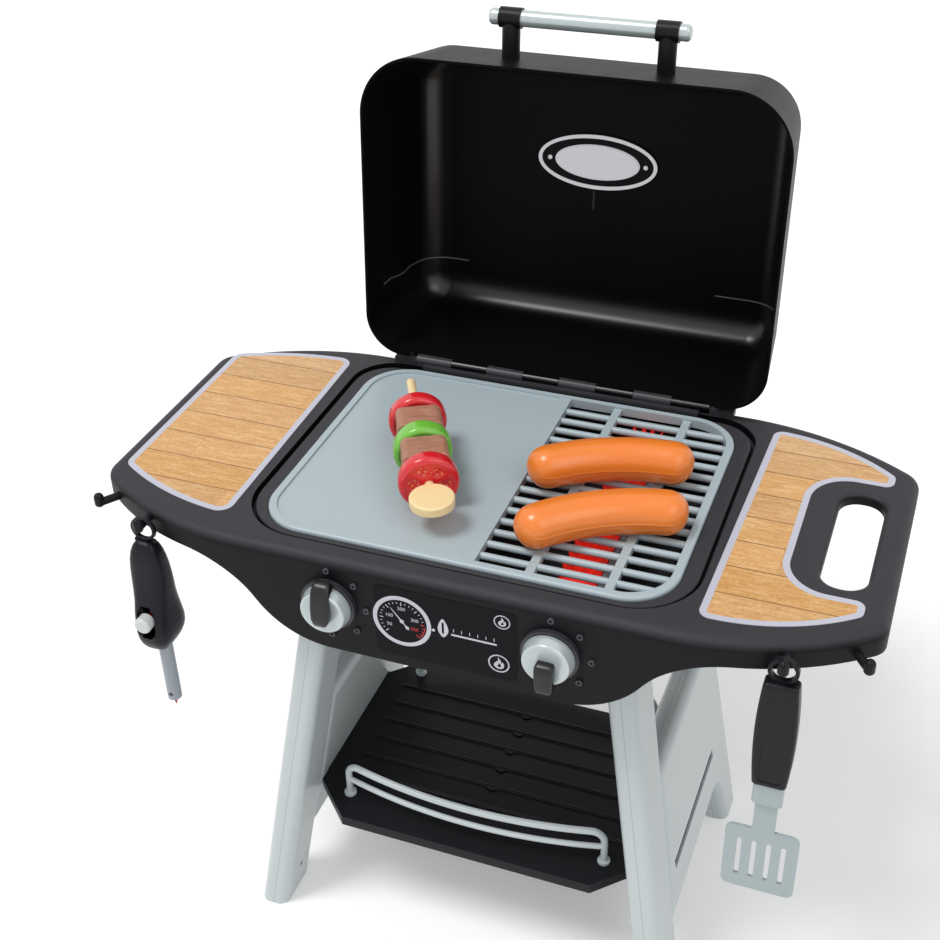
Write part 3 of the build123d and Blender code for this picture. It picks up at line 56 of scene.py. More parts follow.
# The worktop's own frame, in millimetres: z is 0 on its top, and the cooking plate's middle is x = y = 0
PLATE_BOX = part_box("cooking_plate")
MIDDLE_Y = (PLATE_BOX[0].y + PLATE_BOX[1].y) / 2
DECK_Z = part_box("shelf_label_left")[0].z
APRON_Y = -181.0
# The hinge's y and z, and the shut lid: under its roof, its wall at the foot, and its middle height
HINGE = (165.2, 5.7)
LID_ROOF = 130.6
LID_WALL_X = 216.0
LID_MIDDLE_Z = 45.0
LID_OPEN = math.radians(95.0)
LID_TAPER = math.radians(6.0)
FRAME_TILT = math.radians(9.0)
FRAME_X = 134.8
KNOBS = {"left": (-106.5, -49.0), "right": (104.0, -49.0)}
STUD_RING = 36.5
BADGE = (-4.7, -34.7)
BADGE_THICK = 2.5
GAUGE = (-35.5, -51.8)
# The hanging tools' eyes, and the skewer's middle and direction
TOOL_X, RING_Z = 300.0, -17.0
TOOL_Y = (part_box("igniter_tube")[0].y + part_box("igniter_tube")[1].y) / 2
SKEWER_MIDDLE = (-86.3, -5.5, 29.3)
SKEWER_WAY = Vector((0.467, -0.884)).normalized()
# The photograph's camera: azimuth, elevation and roll in degrees, and its place in the worktop's frame
CAMERA_TURN = (21.72, 34.28, -1.78)
CAMERA_PLACE = (389.93, -1073.96, 781.76)


def tint(red, green, blue):
    """A screen colour, each part from 0 to 255, as the linear colour that materials take."""
    def part(value):
        value /= 255
        return value / 12.92 if value <= 0.04045 else ((value + 0.055) / 1.055) ** 2.4

    return (part(red), part(green), part(blue))


def colour_setting(name, text, default):
    """A colour that a user can change in the sidebar."""
    return bpy.props.FloatVectorProperty(name=name, description=text, subtype="COLOR", size=3, min=0.0,
                                         max=1.0, default=default)


def length_setting(name, text, default):
    """A length that a user can change in the sidebar, in metres."""
    return bpy.props.FloatProperty(name=name, description=text, subtype="DISTANCE", unit="LENGTH", min=0.0,
                                   precision=5, default=default)


def share_setting(name, text, default):
    """A share from 0 to 1 that a user can change in the sidebar."""
    return bpy.props.FloatProperty(name=name, description=text, subtype="FACTOR", min=0.0, max=1.0,
                                   default=default)


class GrillColours(bpy.types.PropertyGroup):
    """Colours of the plastics, stickers and food."""
    deck: colour_setting("Worktop", "Charcoal plastic of the worktop", tint(57, 57, 61))
    black: colour_setting("Black plastic", "Insert, hooks, levers and lower shelf", tint(24, 24, 28))
    lid: colour_setting("Lid", "Glossy black of the hood", tint(12, 12, 15))
    plate: colour_setting("Cooking plate", "Blue-grey plastic of the plate", tint(174, 189, 195))
    frames: colour_setting("Side frames", "Light grey plastic of the legs", tint(198, 206, 207))
    knob: colour_setting("Knob", "Pale grey plastic of the knob caps", tint(196, 206, 206))
    silver: colour_setting("Silver print", "Silver of the badge and the printed lines", tint(196, 197, 206))
    sticker_edge: colour_setting("Sticker border", "Silver-grey edge of the stickers", tint(196, 197, 210))
    oak: colour_setting("Printed oak", "Middle tone of the printed planks", tint(220, 170, 112))
    oak_dark: colour_setting("Oak grain", "Dark tone of the printed planks", tint(172, 120, 68))
    oak_light: colour_setting("Oak highlight", "Light tone of the printed planks", tint(240, 208, 160))
    flame: colour_setting("Flames", "Red of the flame comb", tint(236, 44, 30))
    sausage: colour_setting("Sausage", "Orange plastic of the sausages", tint(244, 134, 50))
    tomato: colour_setting("Tomato", "Red plastic of the slices", tint(222, 36, 44))
    seeds: colour_setting("Tomato seeds", "Seeds and pulp of the slices", tint(238, 138, 84))
    pepper: colour_setting("Pepper", "Green plastic of the ring", tint(118, 194, 66))
    meat: colour_setting("Meat", "Brown plastic of the cubes", tint(186, 134, 110))
    stick: colour_setting("Stick", "Cream plastic of the skewer", tint(248, 222, 168))
    tube: colour_setting("Lighter tube", "Grey plastic of the tube and the blade", tint(150, 158, 164))
    steel: colour_setting("Screws", "Plated steel of the screws and the pin", tint(196, 196, 200))


class GrillSizes(bpy.types.PropertyGroup):
    """Sizes of the surface detail."""
    grain: length_setting("Mould grain", "Size of the fine grain in the matt plastics", 0.0006)
    plank: length_setting("Plank width", "Width of one printed plank", 0.0385)
    border: length_setting("Sticker border", "Width of the silver edge of the shelf stickers", 0.0062)
    seam: length_setting("Sausage seam", "Height of the mould seam on a sausage", 0.00035)
    pulp: length_setting("Tomato relief", "Depth of the seed chambers in a slice", 0.0018)


class GrillStudio(bpy.types.PropertyGroup):
    """Camera and lamps."""
    lens: bpy.props.FloatProperty(name="Lens", description="Focal length of the camera",
                                  subtype="DISTANCE_CAMERA", unit="CAMERA", default=55.19)
    key: bpy.props.FloatProperty(name="Key lamp", description="Strength of the main lamp", min=0.0,
                                 default=1.55)
    fill: bpy.props.FloatProperty(name="Fill lamp", description="Strength of the lamp on the right", min=0.0,
                                  default=0.5)
    sky: share_setting("Room light", "Strength of the even light from all round", 0.52)
    floor: colour_setting("Floor", "Pale studio floor", (0.93, 0.93, 0.935))


# Places and outlines


def place(x, y, z):
    """A point of the worktop's own frame, in millimetres, as a point of the part's frame in metres."""
    return Vector((x * MM, y * MM + MIDDLE_Y, z * MM + DECK_Z))


def apron_spot(across, up, height):
    """A point on the apron's front face: height stands out towards the front."""
    return place(across, APRON_Y - height, up)


def lid_spot(x, y, z):
    """A point of the shut lid, swung open with it."""
    dy, dz = y - HINGE[0], z - HINGE[1]
    turned_y = dy * math.cos(LID_OPEN) + dz * math.sin(LID_OPEN)
    turned_z = dz * math.cos(LID_OPEN) - dy * math.sin(LID_OPEN)
    return place(x, HINGE[0] + turned_y, HINGE[1] + turned_z)


def tool_spot(side, x, y, z):
    """A point of a hanging tool, from its eye's middle. side is -1 for the lighter, 1 for the spatula."""
    return Vector(((side * TOOL_X + x) * MM, y * MM + TOOL_Y, (z + RING_Z) * MM + DECK_Z))


def skewer_spot(across, up, along):
    """A point on the skewer: along runs down the stick towards its round grip."""
    x = SKEWER_MIDDLE[0] + SKEWER_WAY.x * along - SKEWER_WAY.y * across
    y = SKEWER_MIDDLE[1] + SKEWER_WAY.y * along + SKEWER_WAY.x * across
    return place(x, y, SKEWER_MIDDLE[2] + up)


def once_round(steps):
    """Even angles once round a circle."""
    return [2 * math.pi * step / steps for step in range(steps)]


def oval(x, y, half_x, half_y, steps=48):
    """A closed oval outline."""
    return [(x + half_x * math.cos(t), y + half_y * math.sin(t)) for t in once_round(steps)]


def rounded_box(x, y, half_x, half_y, radius, steps=6):
    """A closed box outline with round corners."""
    points = []
    for corner in range(4):
        sx, sy = ((1, 1), (-1, 1), (-1, -1), (1, -1))[corner]
        for step in range(steps + 1):
            turn = math.pi / 2 * (corner + step / steps)
            points.append((x + sx * (half_x - radius) + radius * math.cos(turn),
                           y + sy * (half_y - radius) + radius * math.sin(turn)))
    return points


def smooth_loop(points, steps=6):
    """A closed smooth outline through a few points."""
    result = []
    count = len(points)
    for i in range(count):
        a, b, c, d = (Vector(points[(i + k - 1) % count]) for k in range(4))
        for step in range(steps):
            t = step / steps
            square, cube = 2 * a - 5 * b + 4 * c - d, 3 * b - a - 3 * c + d
            p = 0.5 * (2 * b + (c - a) * t + square * t * t + cube * t**3)
            result.append((p.x, p.y))
    return result


def top_outline(node):
    """The outline of a flat node's top face seen from above, in the worktop's frame and millimetres."""
    mesh = NODES[node].data
    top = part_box(node)[1].z
    uses = {}
    for face in mesh.polygons:
        corners = [mesh.vertices[i].co for i in face.vertices]
        if any(abs(c.z - top) > 1e-6 for c in corners):
            continue
        keys = [(round(c.x / MM, 3), round((c.y - MIDDLE_Y) / MM, 3)) for c in corners]
        for a, b in zip(keys, keys[1:] + keys[:1]):
            uses.setdefault(frozenset((a, b)), []).append((a, b))
    follow = {}
    for ways in uses.values():
        if len(ways) == 1:
            follow[ways[0][0]] = ways[0][1]
    start = next(iter(follow))
    loop = [start]
    while follow[loop[-1]] != start:
        loop.append(follow[loop[-1]])
    return loop


def even_steps(loop, step):
    """The same outline with points about a step apart."""
    result = []
    for a, b in zip(loop, loop[1:] + loop[:1]):
        a, b = Vector(a), Vector(b)
        count = max(1, round((b - a).length / step))
        result += [tuple(a.lerp(b, k / count)) for k in range(count)]
    return result


def drawn_in(loop, gap):
    """The outline drawn in by a gap, with the points that would fold over left out."""
    fine = [Vector(p) for p in even_steps(loop, 2.0)]
    area = sum(a.x * b.y - b.x * a.y for a, b in zip(fine, fine[1:] + fine[:1]))
    side = 1 if area > 0 else -1
    lines = list(zip(fine, fine[1:] + fine[:1]))
    result = []
    for i, point in enumerate(fine):
        way = (fine[(i + 1) % len(fine)] - fine[i - 1]).normalized()
        moved = point + Vector((-way.y, way.x)) * side * gap
        near = min(distance_to_line(moved, a, b) for a, b in lines)
        if near > gap - 0.05:
            result.append(tuple(moved))
    return result


def distance_to_line(point, a, b):
    """How far a point is from a straight line between two others."""
    way = b - a
    share = max(0.0, min(1.0, (point - a).dot(way) / max(way.length_squared, 1e-9)))
    return (point - a - way * share).length


# Mesh building


def band(bm, low, high, closed=True, material=0):
    """The faces between two rows of vertices."""
    count = len(low)
    for i in range(count if closed else count - 1):
        j = (i + 1) % count
        bm.faces.new((low[i], low[j], high[j], high[i])).material_index = material


def loft(bm, rows, closed=True, ends=(True, True), material=0):
    """Skins a run of rows of points. Closed rows are rings."""
    made = [[bm.verts.new(point) for point in row] for row in rows]
    for low, high in zip(made, made[1:]):
        band(bm, low, high, closed, material)
    if closed and ends[0]:
        bm.faces.new(reversed(made[0])).material_index = material
    if closed and ends[1]:
        bm.faces.new(made[-1]).material_index = material
    return made


def sheet(bm, loops, low, high, spot, material=0):
    """A flat plate between two heights. The first loop is its outline, and the rest are holes."""
    rims = []
    for loop in loops:
        sides = [[spot(u, v, height) for u, v in loop] for height in (low, high)]
        top = loft(bm, sides, ends=(False, False), material=material)[-1]
        rims += [bm.edges.get((top[i], top[(i + 1) % len(loop)])) for i in range(len(loop))]
    filled = bmesh.ops.triangle_fill(bm, edges=rims, use_beauty=True)
    for face in filled["geom"]:
        if isinstance(face, bmesh.types.BMFace):
            face.material_index = material


def bead(bm, path, radius, closed=False, sides=10, material=0, up=Vector((0, 0, 1))):
    """A round bead along a path of points, in metres."""
    rows = []
    count = len(path)
    for i, point in enumerate(path):
        after = path[(i + 1) % count] if closed or i < count - 1 else point
        before = path[i - 1] if closed or i > 0 else point
        way = (after - before).normalized()
        across = way.cross(up)
        across = across.normalized() if across.length > 1e-4 else way.orthogonal().normalized()
        rise = across.cross(way)
        rows.append([point + (across * math.cos(t) + rise * math.sin(t)) * radius for t in once_round(sides)])
    made = loft(bm, rows, ends=(not closed, not closed), material=material)
    if closed:
        band(bm, made[-1], made[0], material=material)


def turned(bm, profile, spot, steps=64, material=0):
    """A lathed shape. The profile lists (radius, height) and spot takes (across, up, height)."""
    loft(bm, [[spot(radius * math.cos(t), radius * math.sin(t), height) for t in once_round(steps)]
              for radius, height in profile], material=material)


def settle(name, bm, materials, body, stands_for=(), sharp=32.0):
    """Turns a finished bmesh into a piece that rides on a body."""
    bmesh.ops.recalc_face_normals(bm, faces=bm.faces)
    for face in bm.faces:
        face.smooth = True
    for edge in bm.edges:
        if len(edge.link_faces) == 2 and edge.calc_face_angle(0.0) > math.radians(sharp):
            edge.smooth = False
    mesh = bpy.data.meshes.new(name)
    bm.to_mesh(mesh)
    bm.free()
    for material in materials:
        mesh.materials.append(material)
    piece = bpy.data.objects.new(name, mesh)
    bpy.context.scene.collection.objects.link(piece)
    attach(piece, body)
    if stands_for:
        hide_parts(*stands_for)
    return piece


def dress(nodes, material):
    """Gives CAD nodes a finish."""
    for node in nodes:
        NODES[node].data.materials.clear()
        NODES[node].data.materials.append(material)


# Node helpers


class Net:
    """Lays down shader nodes in one tree and joins them."""

    def __init__(self, tree):
        self.tree = tree

    def feed(self, socket, value):
        """Joins an output to a socket, or sets its value."""
        if isinstance(value, bpy.types.NodeSocket):
            self.tree.links.new(value, socket)
        elif socket.type == "RGBA" and len(value) == 3:
            socket.default_value = (*value, 1.0)
        else:
            socket.default_value = value

    def add(self, kind, inputs=None, **settings):
        """One node with its settings and inputs, given by name or number."""
        node = self.tree.nodes.new(kind)
        for key, value in settings.items():
            setattr(node, key, value)
        for key, value in (inputs or {}).items():
            self.feed(node.inputs[key], value)
        return node

    def calc(self, operation, *values):
        """A sum on numbers, named as Blender names it."""
        node = self.add("ShaderNodeMath", dict(enumerate(values)), operation=operation)
        return node.outputs[0]

    def plus(self, first, second):
        """The sum of two numbers."""
        return self.calc("ADD", first, second)

    def minus(self, first, second):
        """One number less another."""
        return self.calc("SUBTRACT", first, second)

    def times(self, first, second):
        """The product of two numbers."""
        return self.calc("MULTIPLY", first, second)

    def blend(self, share, first, second):
        """Two colours mixed by a share."""
        # In a colour mix, sockets 6 and 7 are the colours and output 2 is the result
        return self.add("ShaderNodeMix", {0: share, 6: first, 7: second}, data_type="RGBA").outputs[2]

    def span(self, value, low, high, to_low=0.0, to_high=1.0, smooth=False):
        """A value carried from one range to another, and held inside it."""
        node = self.add("ShaderNodeMapRange", {0: value, 1: low, 2: high, 3: to_low, 4: to_high},
                        interpolation_type="SMOOTHSTEP" if smooth else "LINEAR")
        return node.outputs[0]

    def spot(self):
        """The place on the piece, in metres."""
        return self.add("ShaderNodeTexCoord").outputs["Object"]

    def split(self, vector):
        """The three parts of a vector."""
        node = self.add("ShaderNodeSeparateXYZ", {0: vector})
        return node.outputs[0], node.outputs[1], node.outputs[2]

    def join(self, x, y, z):
        """A vector from three parts."""
        return self.add("ShaderNodeCombineXYZ", {0: x, 1: y, 2: z}).outputs[0]

    def noise(self, vector, scale, detail=2.0, distortion=0.0):
        """A soft noise from 0 to 1."""
        node = self.add("ShaderNodeTexNoise", {"Vector": vector, "Scale": scale, "Detail": detail,
                                               "Distortion": distortion})
        return node.outputs["Fac"]


def effect_group(name, inputs, outputs):
    """An empty shader effect with named sockets, as its tree, a Net, its inputs and its end node."""
    tree = bpy.data.node_groups.new(name, "ShaderNodeTree")
    kinds = {"colour": "NodeSocketColor", "value": "NodeSocketFloat", "vector": "NodeSocketVector"}
    for label, kind, default in inputs:
        socket = tree.interface.new_socket(label, in_out="INPUT", socket_type=kinds[kind])
        if default is not None:
            socket.default_value = (*default, 1.0) if kind == "colour" else default
    for label, kind in outputs:
        tree.interface.new_socket(label, in_out="OUTPUT", socket_type=kinds[kind])
    net = Net(tree)
    start = net.add("NodeGroupInput")
    end = net.add("NodeGroupOutput")
    return tree, net, start.outputs, end


def moulded_effect():
    """Fine mould grain with slight cloudiness and uneven gloss, for all moulded plastics."""
    name = "Moulded surface"
    if name in bpy.data.node_groups:
        return bpy.data.node_groups[name]
    tree, net, given, end = effect_group(
        name,
        [("Colour", "colour", (0.5, 0.5, 0.5)), ("Grain Scale", "value", 1600.0),
         ("Grain Depth", "value", 0.2), ("Cloud", "value", 0.05), ("Roughness", "value", 0.4),
         ("Gloss Change", "value", 0.06)],
        [("Colour", "colour"), ("Roughness", "value"), ("Normal", "vector")])
    spot = net.spot()
    grain = net.noise(spot, given["Grain Scale"], 3.0)
    cloud = net.noise(spot, 14.0, 3.0, 0.4)
    fine = net.noise(spot, 240.0, 2.0)
    lift = net.times(net.minus(cloud, 0.5), given["Cloud"])
    specks = net.times(net.minus(fine, 0.5), net.times(given["Cloud"], 0.6))
    value = net.plus(net.plus(lift, specks), 1.0)
    shade = net.add("ShaderNodeHueSaturation", {"Value": value, "Color": given["Colour"]})
    net.feed(end.inputs["Colour"], shade.outputs[0])
    rough = net.times(net.minus(net.noise(spot, 38.0, 4.0), 0.5), given["Gloss Change"])
    net.feed(end.inputs["Roughness"], net.plus(given["Roughness"], rough))
    bump = net.add("ShaderNodeBump", {"Strength": given["Grain Depth"], "Distance": 0.0002, "Height": grain})
    net.feed(end.inputs["Normal"], bump.outputs[0])
    return tree


def plank_effect():
    """Printed oak planks that run along X, with seams, staggered joints, grain and a few knots."""
    name = "Printed planks"
    if name in bpy.data.node_groups:
        return bpy.data.node_groups[name]
    tree, net, given, end = effect_group(
        name,
        [("Oak", "colour", (0.7, 0.5, 0.2)), ("Grain", "colour", (0.4, 0.2, 0.1)),
         ("Highlight", "colour", (0.8, 0.6, 0.4)), ("Plank Width", "value", 0.038)],
        [("Colour", "colour"), ("Height", "value")])
    x, y = net.split(net.spot())[:2]
    rows = net.calc("DIVIDE", net.plus(y, 0.4), given["Plank Width"])
    row = net.calc("FLOOR", rows)
    row_part = net.minus(rows, row)
    shift = net.add("ShaderNodeTexWhiteNoise", {"W": row}, noise_dimensions="1D").outputs["Value"]
    lengths = net.plus(net.calc("DIVIDE", x, 0.29), net.times(shift, 7.0))
    board = net.calc("FLOOR", lengths)
    board_part = net.minus(lengths, board)
    tone = net.add("ShaderNodeTexWhiteNoise", {"Vector": net.join(row, board, 0.0)}, noise_dimensions="3D")
    tone_value = tone.outputs["Value"]
    # Grain: fine streaks, broad arches and pores, different on every board
    moved_x = net.plus(x, net.times(tone_value, 3.0))
    moved_y = net.plus(y, net.times(shift, 2.0))
    streak_spot = net.join(net.times(moved_x, 40.0), net.times(moved_y, 300.0), tone_value)
    streaks = net.noise(streak_spot, 1.0, 5.0, 0.6)
    arch_spot = net.join(net.times(moved_x, 9.0), net.times(moved_y, 62.0), tone_value)
    warp = net.noise(arch_spot, 0.9, 3.0, 1.2)
    rings = net.calc("SINE", net.times(warp, 46.0))
    rings = net.span(rings, -0.2, 1.0)
    pores = net.noise(net.join(net.times(moved_x, 60.0), net.times(moved_y, 1500.0), 0.0), 1.0)
    pores = net.span(pores, 0.60, 0.72)
    knot_spot = net.join(net.times(moved_x, 14.0), net.times(moved_y, 34.0), 0.0)
    cell = net.add("ShaderNodeTexVoronoi", {"Vector": knot_spot, "Scale": 1.0})
    sparse = net.calc("GREATER_THAN", net.split(cell.outputs["Color"])[0], 0.72)
    knots = net.times(net.span(cell.outputs["Distance"], 0.16, 0.03), sparse)
    dark = net.plus(net.times(net.span(streaks, 0.42, 0.72), 0.3), net.times(rings, 0.12))
    dark = net.plus(dark, net.times(pores, 0.3))
    dark = net.calc("MAXIMUM", dark, net.times(knots, 0.9))
    wood = net.blend(net.calc("MINIMUM", dark, 1.0), given["Oak"], given["Grain"])
    wood = net.blend(net.times(net.span(streaks, 0.5, 0.3), 0.45), wood, given["Highlight"])
    bright = net.plus(net.times(net.minus(tone_value, 0.5), 0.14), 1.0)
    warm = net.plus(net.times(net.minus(shift, 0.5), 0.16), 1.0)
    wood = net.add("ShaderNodeHueSaturation", {"Value": bright, "Saturation": warm, "Color": wood}).outputs[0]
    edge = net.calc("ABSOLUTE", net.minus(row_part, 0.5))
    seam = net.span(edge, 0.478, 0.488)
    joint_edge = net.calc("ABSOLUTE", net.minus(board_part, 0.5))
    joint = net.times(net.span(joint_edge, 0.4975, 0.4992), 0.25)
    lines = net.calc("MAXIMUM", seam, joint)
    flecks = net.noise(net.join(net.times(moved_x, 260.0), net.times(moved_y, 700.0), 0.0), 1.0)
    wood = net.blend(net.times(net.span(flecks, 0.5, 0.66), 0.3), wood, given["Highlight"])
    wood = net.blend(net.times(net.span(flecks, 0.48, 0.34), 0.25), wood, given["Grain"])
    wood = net.blend(net.times(lines, 0.75), wood, tint(112, 70, 38))
    net.feed(end.inputs["Colour"], wood)
    height = net.minus(1.0, net.plus(net.times(lines, 0.8),
                                                net.times(dark, 0.2)))
    net.feed(end.inputs["Height"], height)
    return tree


def new_material(name):
    """An empty node material with its Principled shader, as the material, a Net and the shader."""
    material = bpy.data.materials.new(name)
    material.use_nodes = True
    net = Net(material.node_tree)
    return material, net, material.node_tree.nodes["Principled BSDF"]


def colours():
    """The colours in the sidebar."""
    return bpy.context.scene.grill_colours


def surface_sizes():
    """The sizes of the surface detail in the sidebar."""
    return bpy.context.scene.grill_sizes


def moulded(name, colour, rough, grain=0.15, cloud=0.05, specular=0.5, coat=0.0, change=0.06, shade=None,
            soft=0.0):
    """A moulded plastic. shade is a function that darkens part of it, for a seam line or for painted shade,
    and soft lets light into it.
    """
    if name in bpy.data.materials:
        return bpy.data.materials[name]
    material, net, shader = new_material(name)
    own = {"Colour": tuple(colour), "Grain Scale": 1.0 / surface_sizes().grain, "Grain Depth": grain,
           "Cloud": cloud, "Roughness": rough, "Gloss Change": change}
    effect = net.add("ShaderNodeGroup", own, node_tree=moulded_effect())
    base = effect.outputs["Colour"]
    net.feed(shader.inputs["Base Color"], shade(net, base) if shade else base)
    net.feed(shader.inputs["Roughness"], effect.outputs["Roughness"])
    net.feed(shader.inputs["Normal"], effect.outputs["Normal"])
    shader.inputs["Specular IOR Level"].default_value = specular
    shader.inputs["Coat Weight"].default_value = coat
    shader.inputs["Coat Roughness"].default_value = 0.12
    if soft:
        shader.inputs["Subsurface Weight"].default_value = soft
        shader.inputs["Subsurface Radius"].default_value = (1.0, 0.5, 0.3)
        shader.inputs["Subsurface Scale"].default_value = 0.003
    return material


def frame_seam(net, base):
    """The line where a frame's two halves meet."""
    x, z = net.split(net.spot())[::2]
    out = net.times(net.minus(net.calc("ABSOLUTE", x), FRAME_X * MM), math.cos(FRAME_TILT))
    rise = net.times(net.minus(z, DECK_Z), math.sin(FRAME_TILT))
    away = net.calc("ABSOLUTE", net.plus(out, rise))
    line = net.span(away, 0.00035, 0.0001)
    return net.blend(net.times(line, 0.55), base, tint(70, 74, 76))


def handle_seam(net, base):
    """The line where the lighter's two handle shells meet."""
    x = net.split(net.spot())[0]
    away = net.calc("ABSOLUTE", net.plus(x, TOOL_X * MM))
    line = net.span(away, 0.00035, 0.0001)
    return net.blend(net.times(line, 0.8), base, tint(6, 6, 7))


def painted_upright_shade(net, base):
    """Painted shade: a darker colour on upright faces, where the textured plastic catches less light."""
    facing = net.calc("ABSOLUTE", net.split(net.add("ShaderNodeNewGeometry").outputs["Normal"])[2])
    # Painted shade: upright faces are blended towards near-black
    return net.blend(net.span(facing, 0.15, 0.8, smooth=True), tint(12, 12, 16), base)


def deck_plastic():
    """Textured charcoal plastic, with painted shade on upright faces."""
    return moulded("Charcoal worktop plastic", colours().deck, 0.5, grain=0.35, cloud=0.06, specular=0.16,
                   shade=painted_upright_shade)


def black_plastic():
    """Satin black plastic of the hooks, the posts and the lower shelf."""
    return moulded("Black insert plastic", colours().black, 0.36, grain=0.16, cloud=0.06, specular=0.16)


def lid_plastic():
    """Deep black hood plastic, polished on its curved edges and dull on its flat walls."""
    name = "Glossy black hood plastic"
    if name in bpy.data.materials:
        return bpy.data.materials[name]
    material = moulded(name, colours().lid, 0.4, grain=0.05, cloud=0.08, specular=0.04, change=0.06)
    net = Net(material.node_tree)
    shader = material.node_tree.nodes["Principled BSDF"]
    spot = net.add("ShaderNodeTexCoord").outputs
    x, y, z = net.split(net.add("ShaderNodeVectorMath", {0: spot["Normal"]}, operation="ABSOLUTE").outputs[0])
    most = net.calc("MAXIMUM", net.calc("MAXIMUM", x, y), z)
    curved = net.span(most, 0.97, 0.8, 0.03, 1.0, smooth=True)
    # Inside, the surface faces the middle of the hood
    from_middle = net.add("ShaderNodeVectorMath", {0: spot["Object"], 1: lid_spot(0.0, 0.0, LID_MIDDLE_Z)},
                          operation="SUBTRACT").outputs[0]
    facing = net.add("ShaderNodeVectorMath", {0: spot["Normal"], 1: from_middle}, operation="DOT_PRODUCT")
    inside = net.span(facing.outputs["Value"], -0.005, 0.005, 1.0, 0.06)
    net.feed(shader.inputs["Coat Weight"], net.times(curved, inside))
    shader.inputs["Coat Roughness"].default_value = 0.26
    return material


def plate_plastic():
    """Satin blue-grey plastic of the cooking plate."""
    return moulded("Blue-grey plate plastic", colours().plate, 0.3, grain=0.1, cloud=0.035, specular=0.36)


def frame_plastic():
    """Glossy light grey plastic with the seam of the frames' halves."""
    return moulded("Light grey frame plastic", colours().frames, 0.2, grain=0.04, cloud=0.03, specular=0.5,
                   shade=frame_seam)


def rail_plastic():
    """Light grey plastic of the shelf rails."""
    return moulded("Light grey rail plastic", colours().frames, 0.3, grain=0.06, cloud=0.03, specular=0.5)


def knob_plastic():
    """Pale grey plastic with a slight silver sheen."""
    material = moulded("Pale knob plastic", colours().knob, 0.24, grain=0.05, cloud=0.03, specular=0.5)
    material.node_tree.nodes["Principled BSDF"].inputs["Metallic"].default_value = 0.3
    return material


def silver_finish():
    """Silver ink of the panel's marks."""
    return moulded("Silver trim", colours().silver, 0.3, grain=0.05, cloud=0.03, specular=0.6)


def glowing_badge_silver():
    """Silver lacquer, painted brighter and given a weak painted glow, so that it keeps its tone inside the
    lid's shade.
    """
    material = moulded("Badge silver lacquer", tint(232, 232, 238), 0.25, grain=0.03, cloud=0.03,
                       specular=0.6)
    shader = material.node_tree.nodes["Principled BSDF"]
    # Painted light: a weak glow, though the badge is no lamp
    shader.inputs["Emission Color"].default_value = (0.9, 0.9, 0.95, 1.0)
    shader.inputs["Emission Strength"].default_value = 0.16
    return material


def dark_print():
    """Black ink under the panel and the badge."""
    return moulded("Black printed ground", tint(17, 16, 20), 0.4, grain=0.06, cloud=0.08, specular=0.08)


def red_print():
    """Red ink of the gauge's hot end."""
    return moulded("Red printed marks", tint(206, 40, 44), 0.35, grain=0.05, cloud=0.03)


def plated_steel():
    """Plated screw steel with fine turning marks."""
    name = "Plated steel"
    if name in bpy.data.materials:
        return bpy.data.materials[name]
    material, net, shader = new_material(name)
    spot = net.spot()
    marks = net.noise(spot, 900.0, 4.0, 0.5)
    cloud = net.noise(spot, 120.0, 2.0)
    net.feed(shader.inputs["Base Color"], net.blend(net.span(cloud, 0.35, 0.7), tuple(colours().steel),
                                                   tint(150, 150, 154)))
    net.feed(shader.inputs["Roughness"], net.span(marks, 0.3, 0.7, 0.22, 0.42))
    bump = net.add("ShaderNodeBump", {"Strength": 0.2, "Distance": 0.0001, "Height": marks})
    net.feed(shader.inputs["Normal"], bump.outputs[0])
    shader.inputs["Metallic"].default_value = 1.0
    return material


def plank_print():
    """The shelf stickers' printed wood under a satin film."""
    name = "Printed oak sticker"
    if name in bpy.data.materials:
        return bpy.data.materials[name]
    look = colours()
    material, net, shader = new_material(name)
    own = {"Oak": tuple(look.oak), "Grain": tuple(look.oak_dark), "Highlight": tuple(look.oak_light),
           "Plank Width": surface_sizes().plank}
    effect = net.add("ShaderNodeGroup", own, node_tree=plank_effect())
    net.feed(shader.inputs["Base Color"], effect.outputs["Colour"])
    relief = effect.outputs["Height"]
    bump = net.add("ShaderNodeBump", {"Strength": 0.08, "Distance": 0.0002, "Height": relief})
    net.feed(shader.inputs["Normal"], bump.outputs[0])
    net.feed(shader.inputs["Roughness"], net.span(net.noise(net.spot(), 40.0, 3.0), 0.3, 0.7, 0.36, 0.48))
    shader.inputs["Specular IOR Level"].default_value = 0.4
    return material


def flame_plastic_painted_light():
    """Red flame plastic: bright at the tips, with painted shade deepening the red at the root and a weak
    painted glow.
    """
    name = "Red flame plastic"
    if name in bpy.data.materials:
        return bpy.data.materials[name]
    material, net, shader = new_material(name)
    x, z = net.split(net.spot())[::2]
    across = net.minus(x, KNOBS["right"][0] * MM)
    up = net.minus(z, KNOBS["right"][1] * MM + DECK_Z)
    out = net.calc("SQRT", net.plus(net.calc("POWER", across, 2.0), net.calc("POWER", up, 2.0)))
    # Painted shade: the red deepens towards the roller, down between the bars
    share = net.span(out, 0.024, 0.030)
    base = net.blend(share, tint(206, 26, 24), tuple(colours().flame))
    own = {"Colour": base, "Roughness": 0.28, "Grain Depth": 0.05}
    effect = net.add("ShaderNodeGroup", own, node_tree=moulded_effect())
    net.feed(shader.inputs["Base Color"], effect.outputs["Colour"])
    net.feed(shader.inputs["Roughness"], effect.outputs["Roughness"])
    net.feed(shader.inputs["Normal"], effect.outputs["Normal"])
    # Painted light: the flames glow in their own red, though they are no lamp
    net.feed(shader.inputs["Emission Color"], base)
    shader.inputs["Emission Strength"].default_value = 0.3
    return material


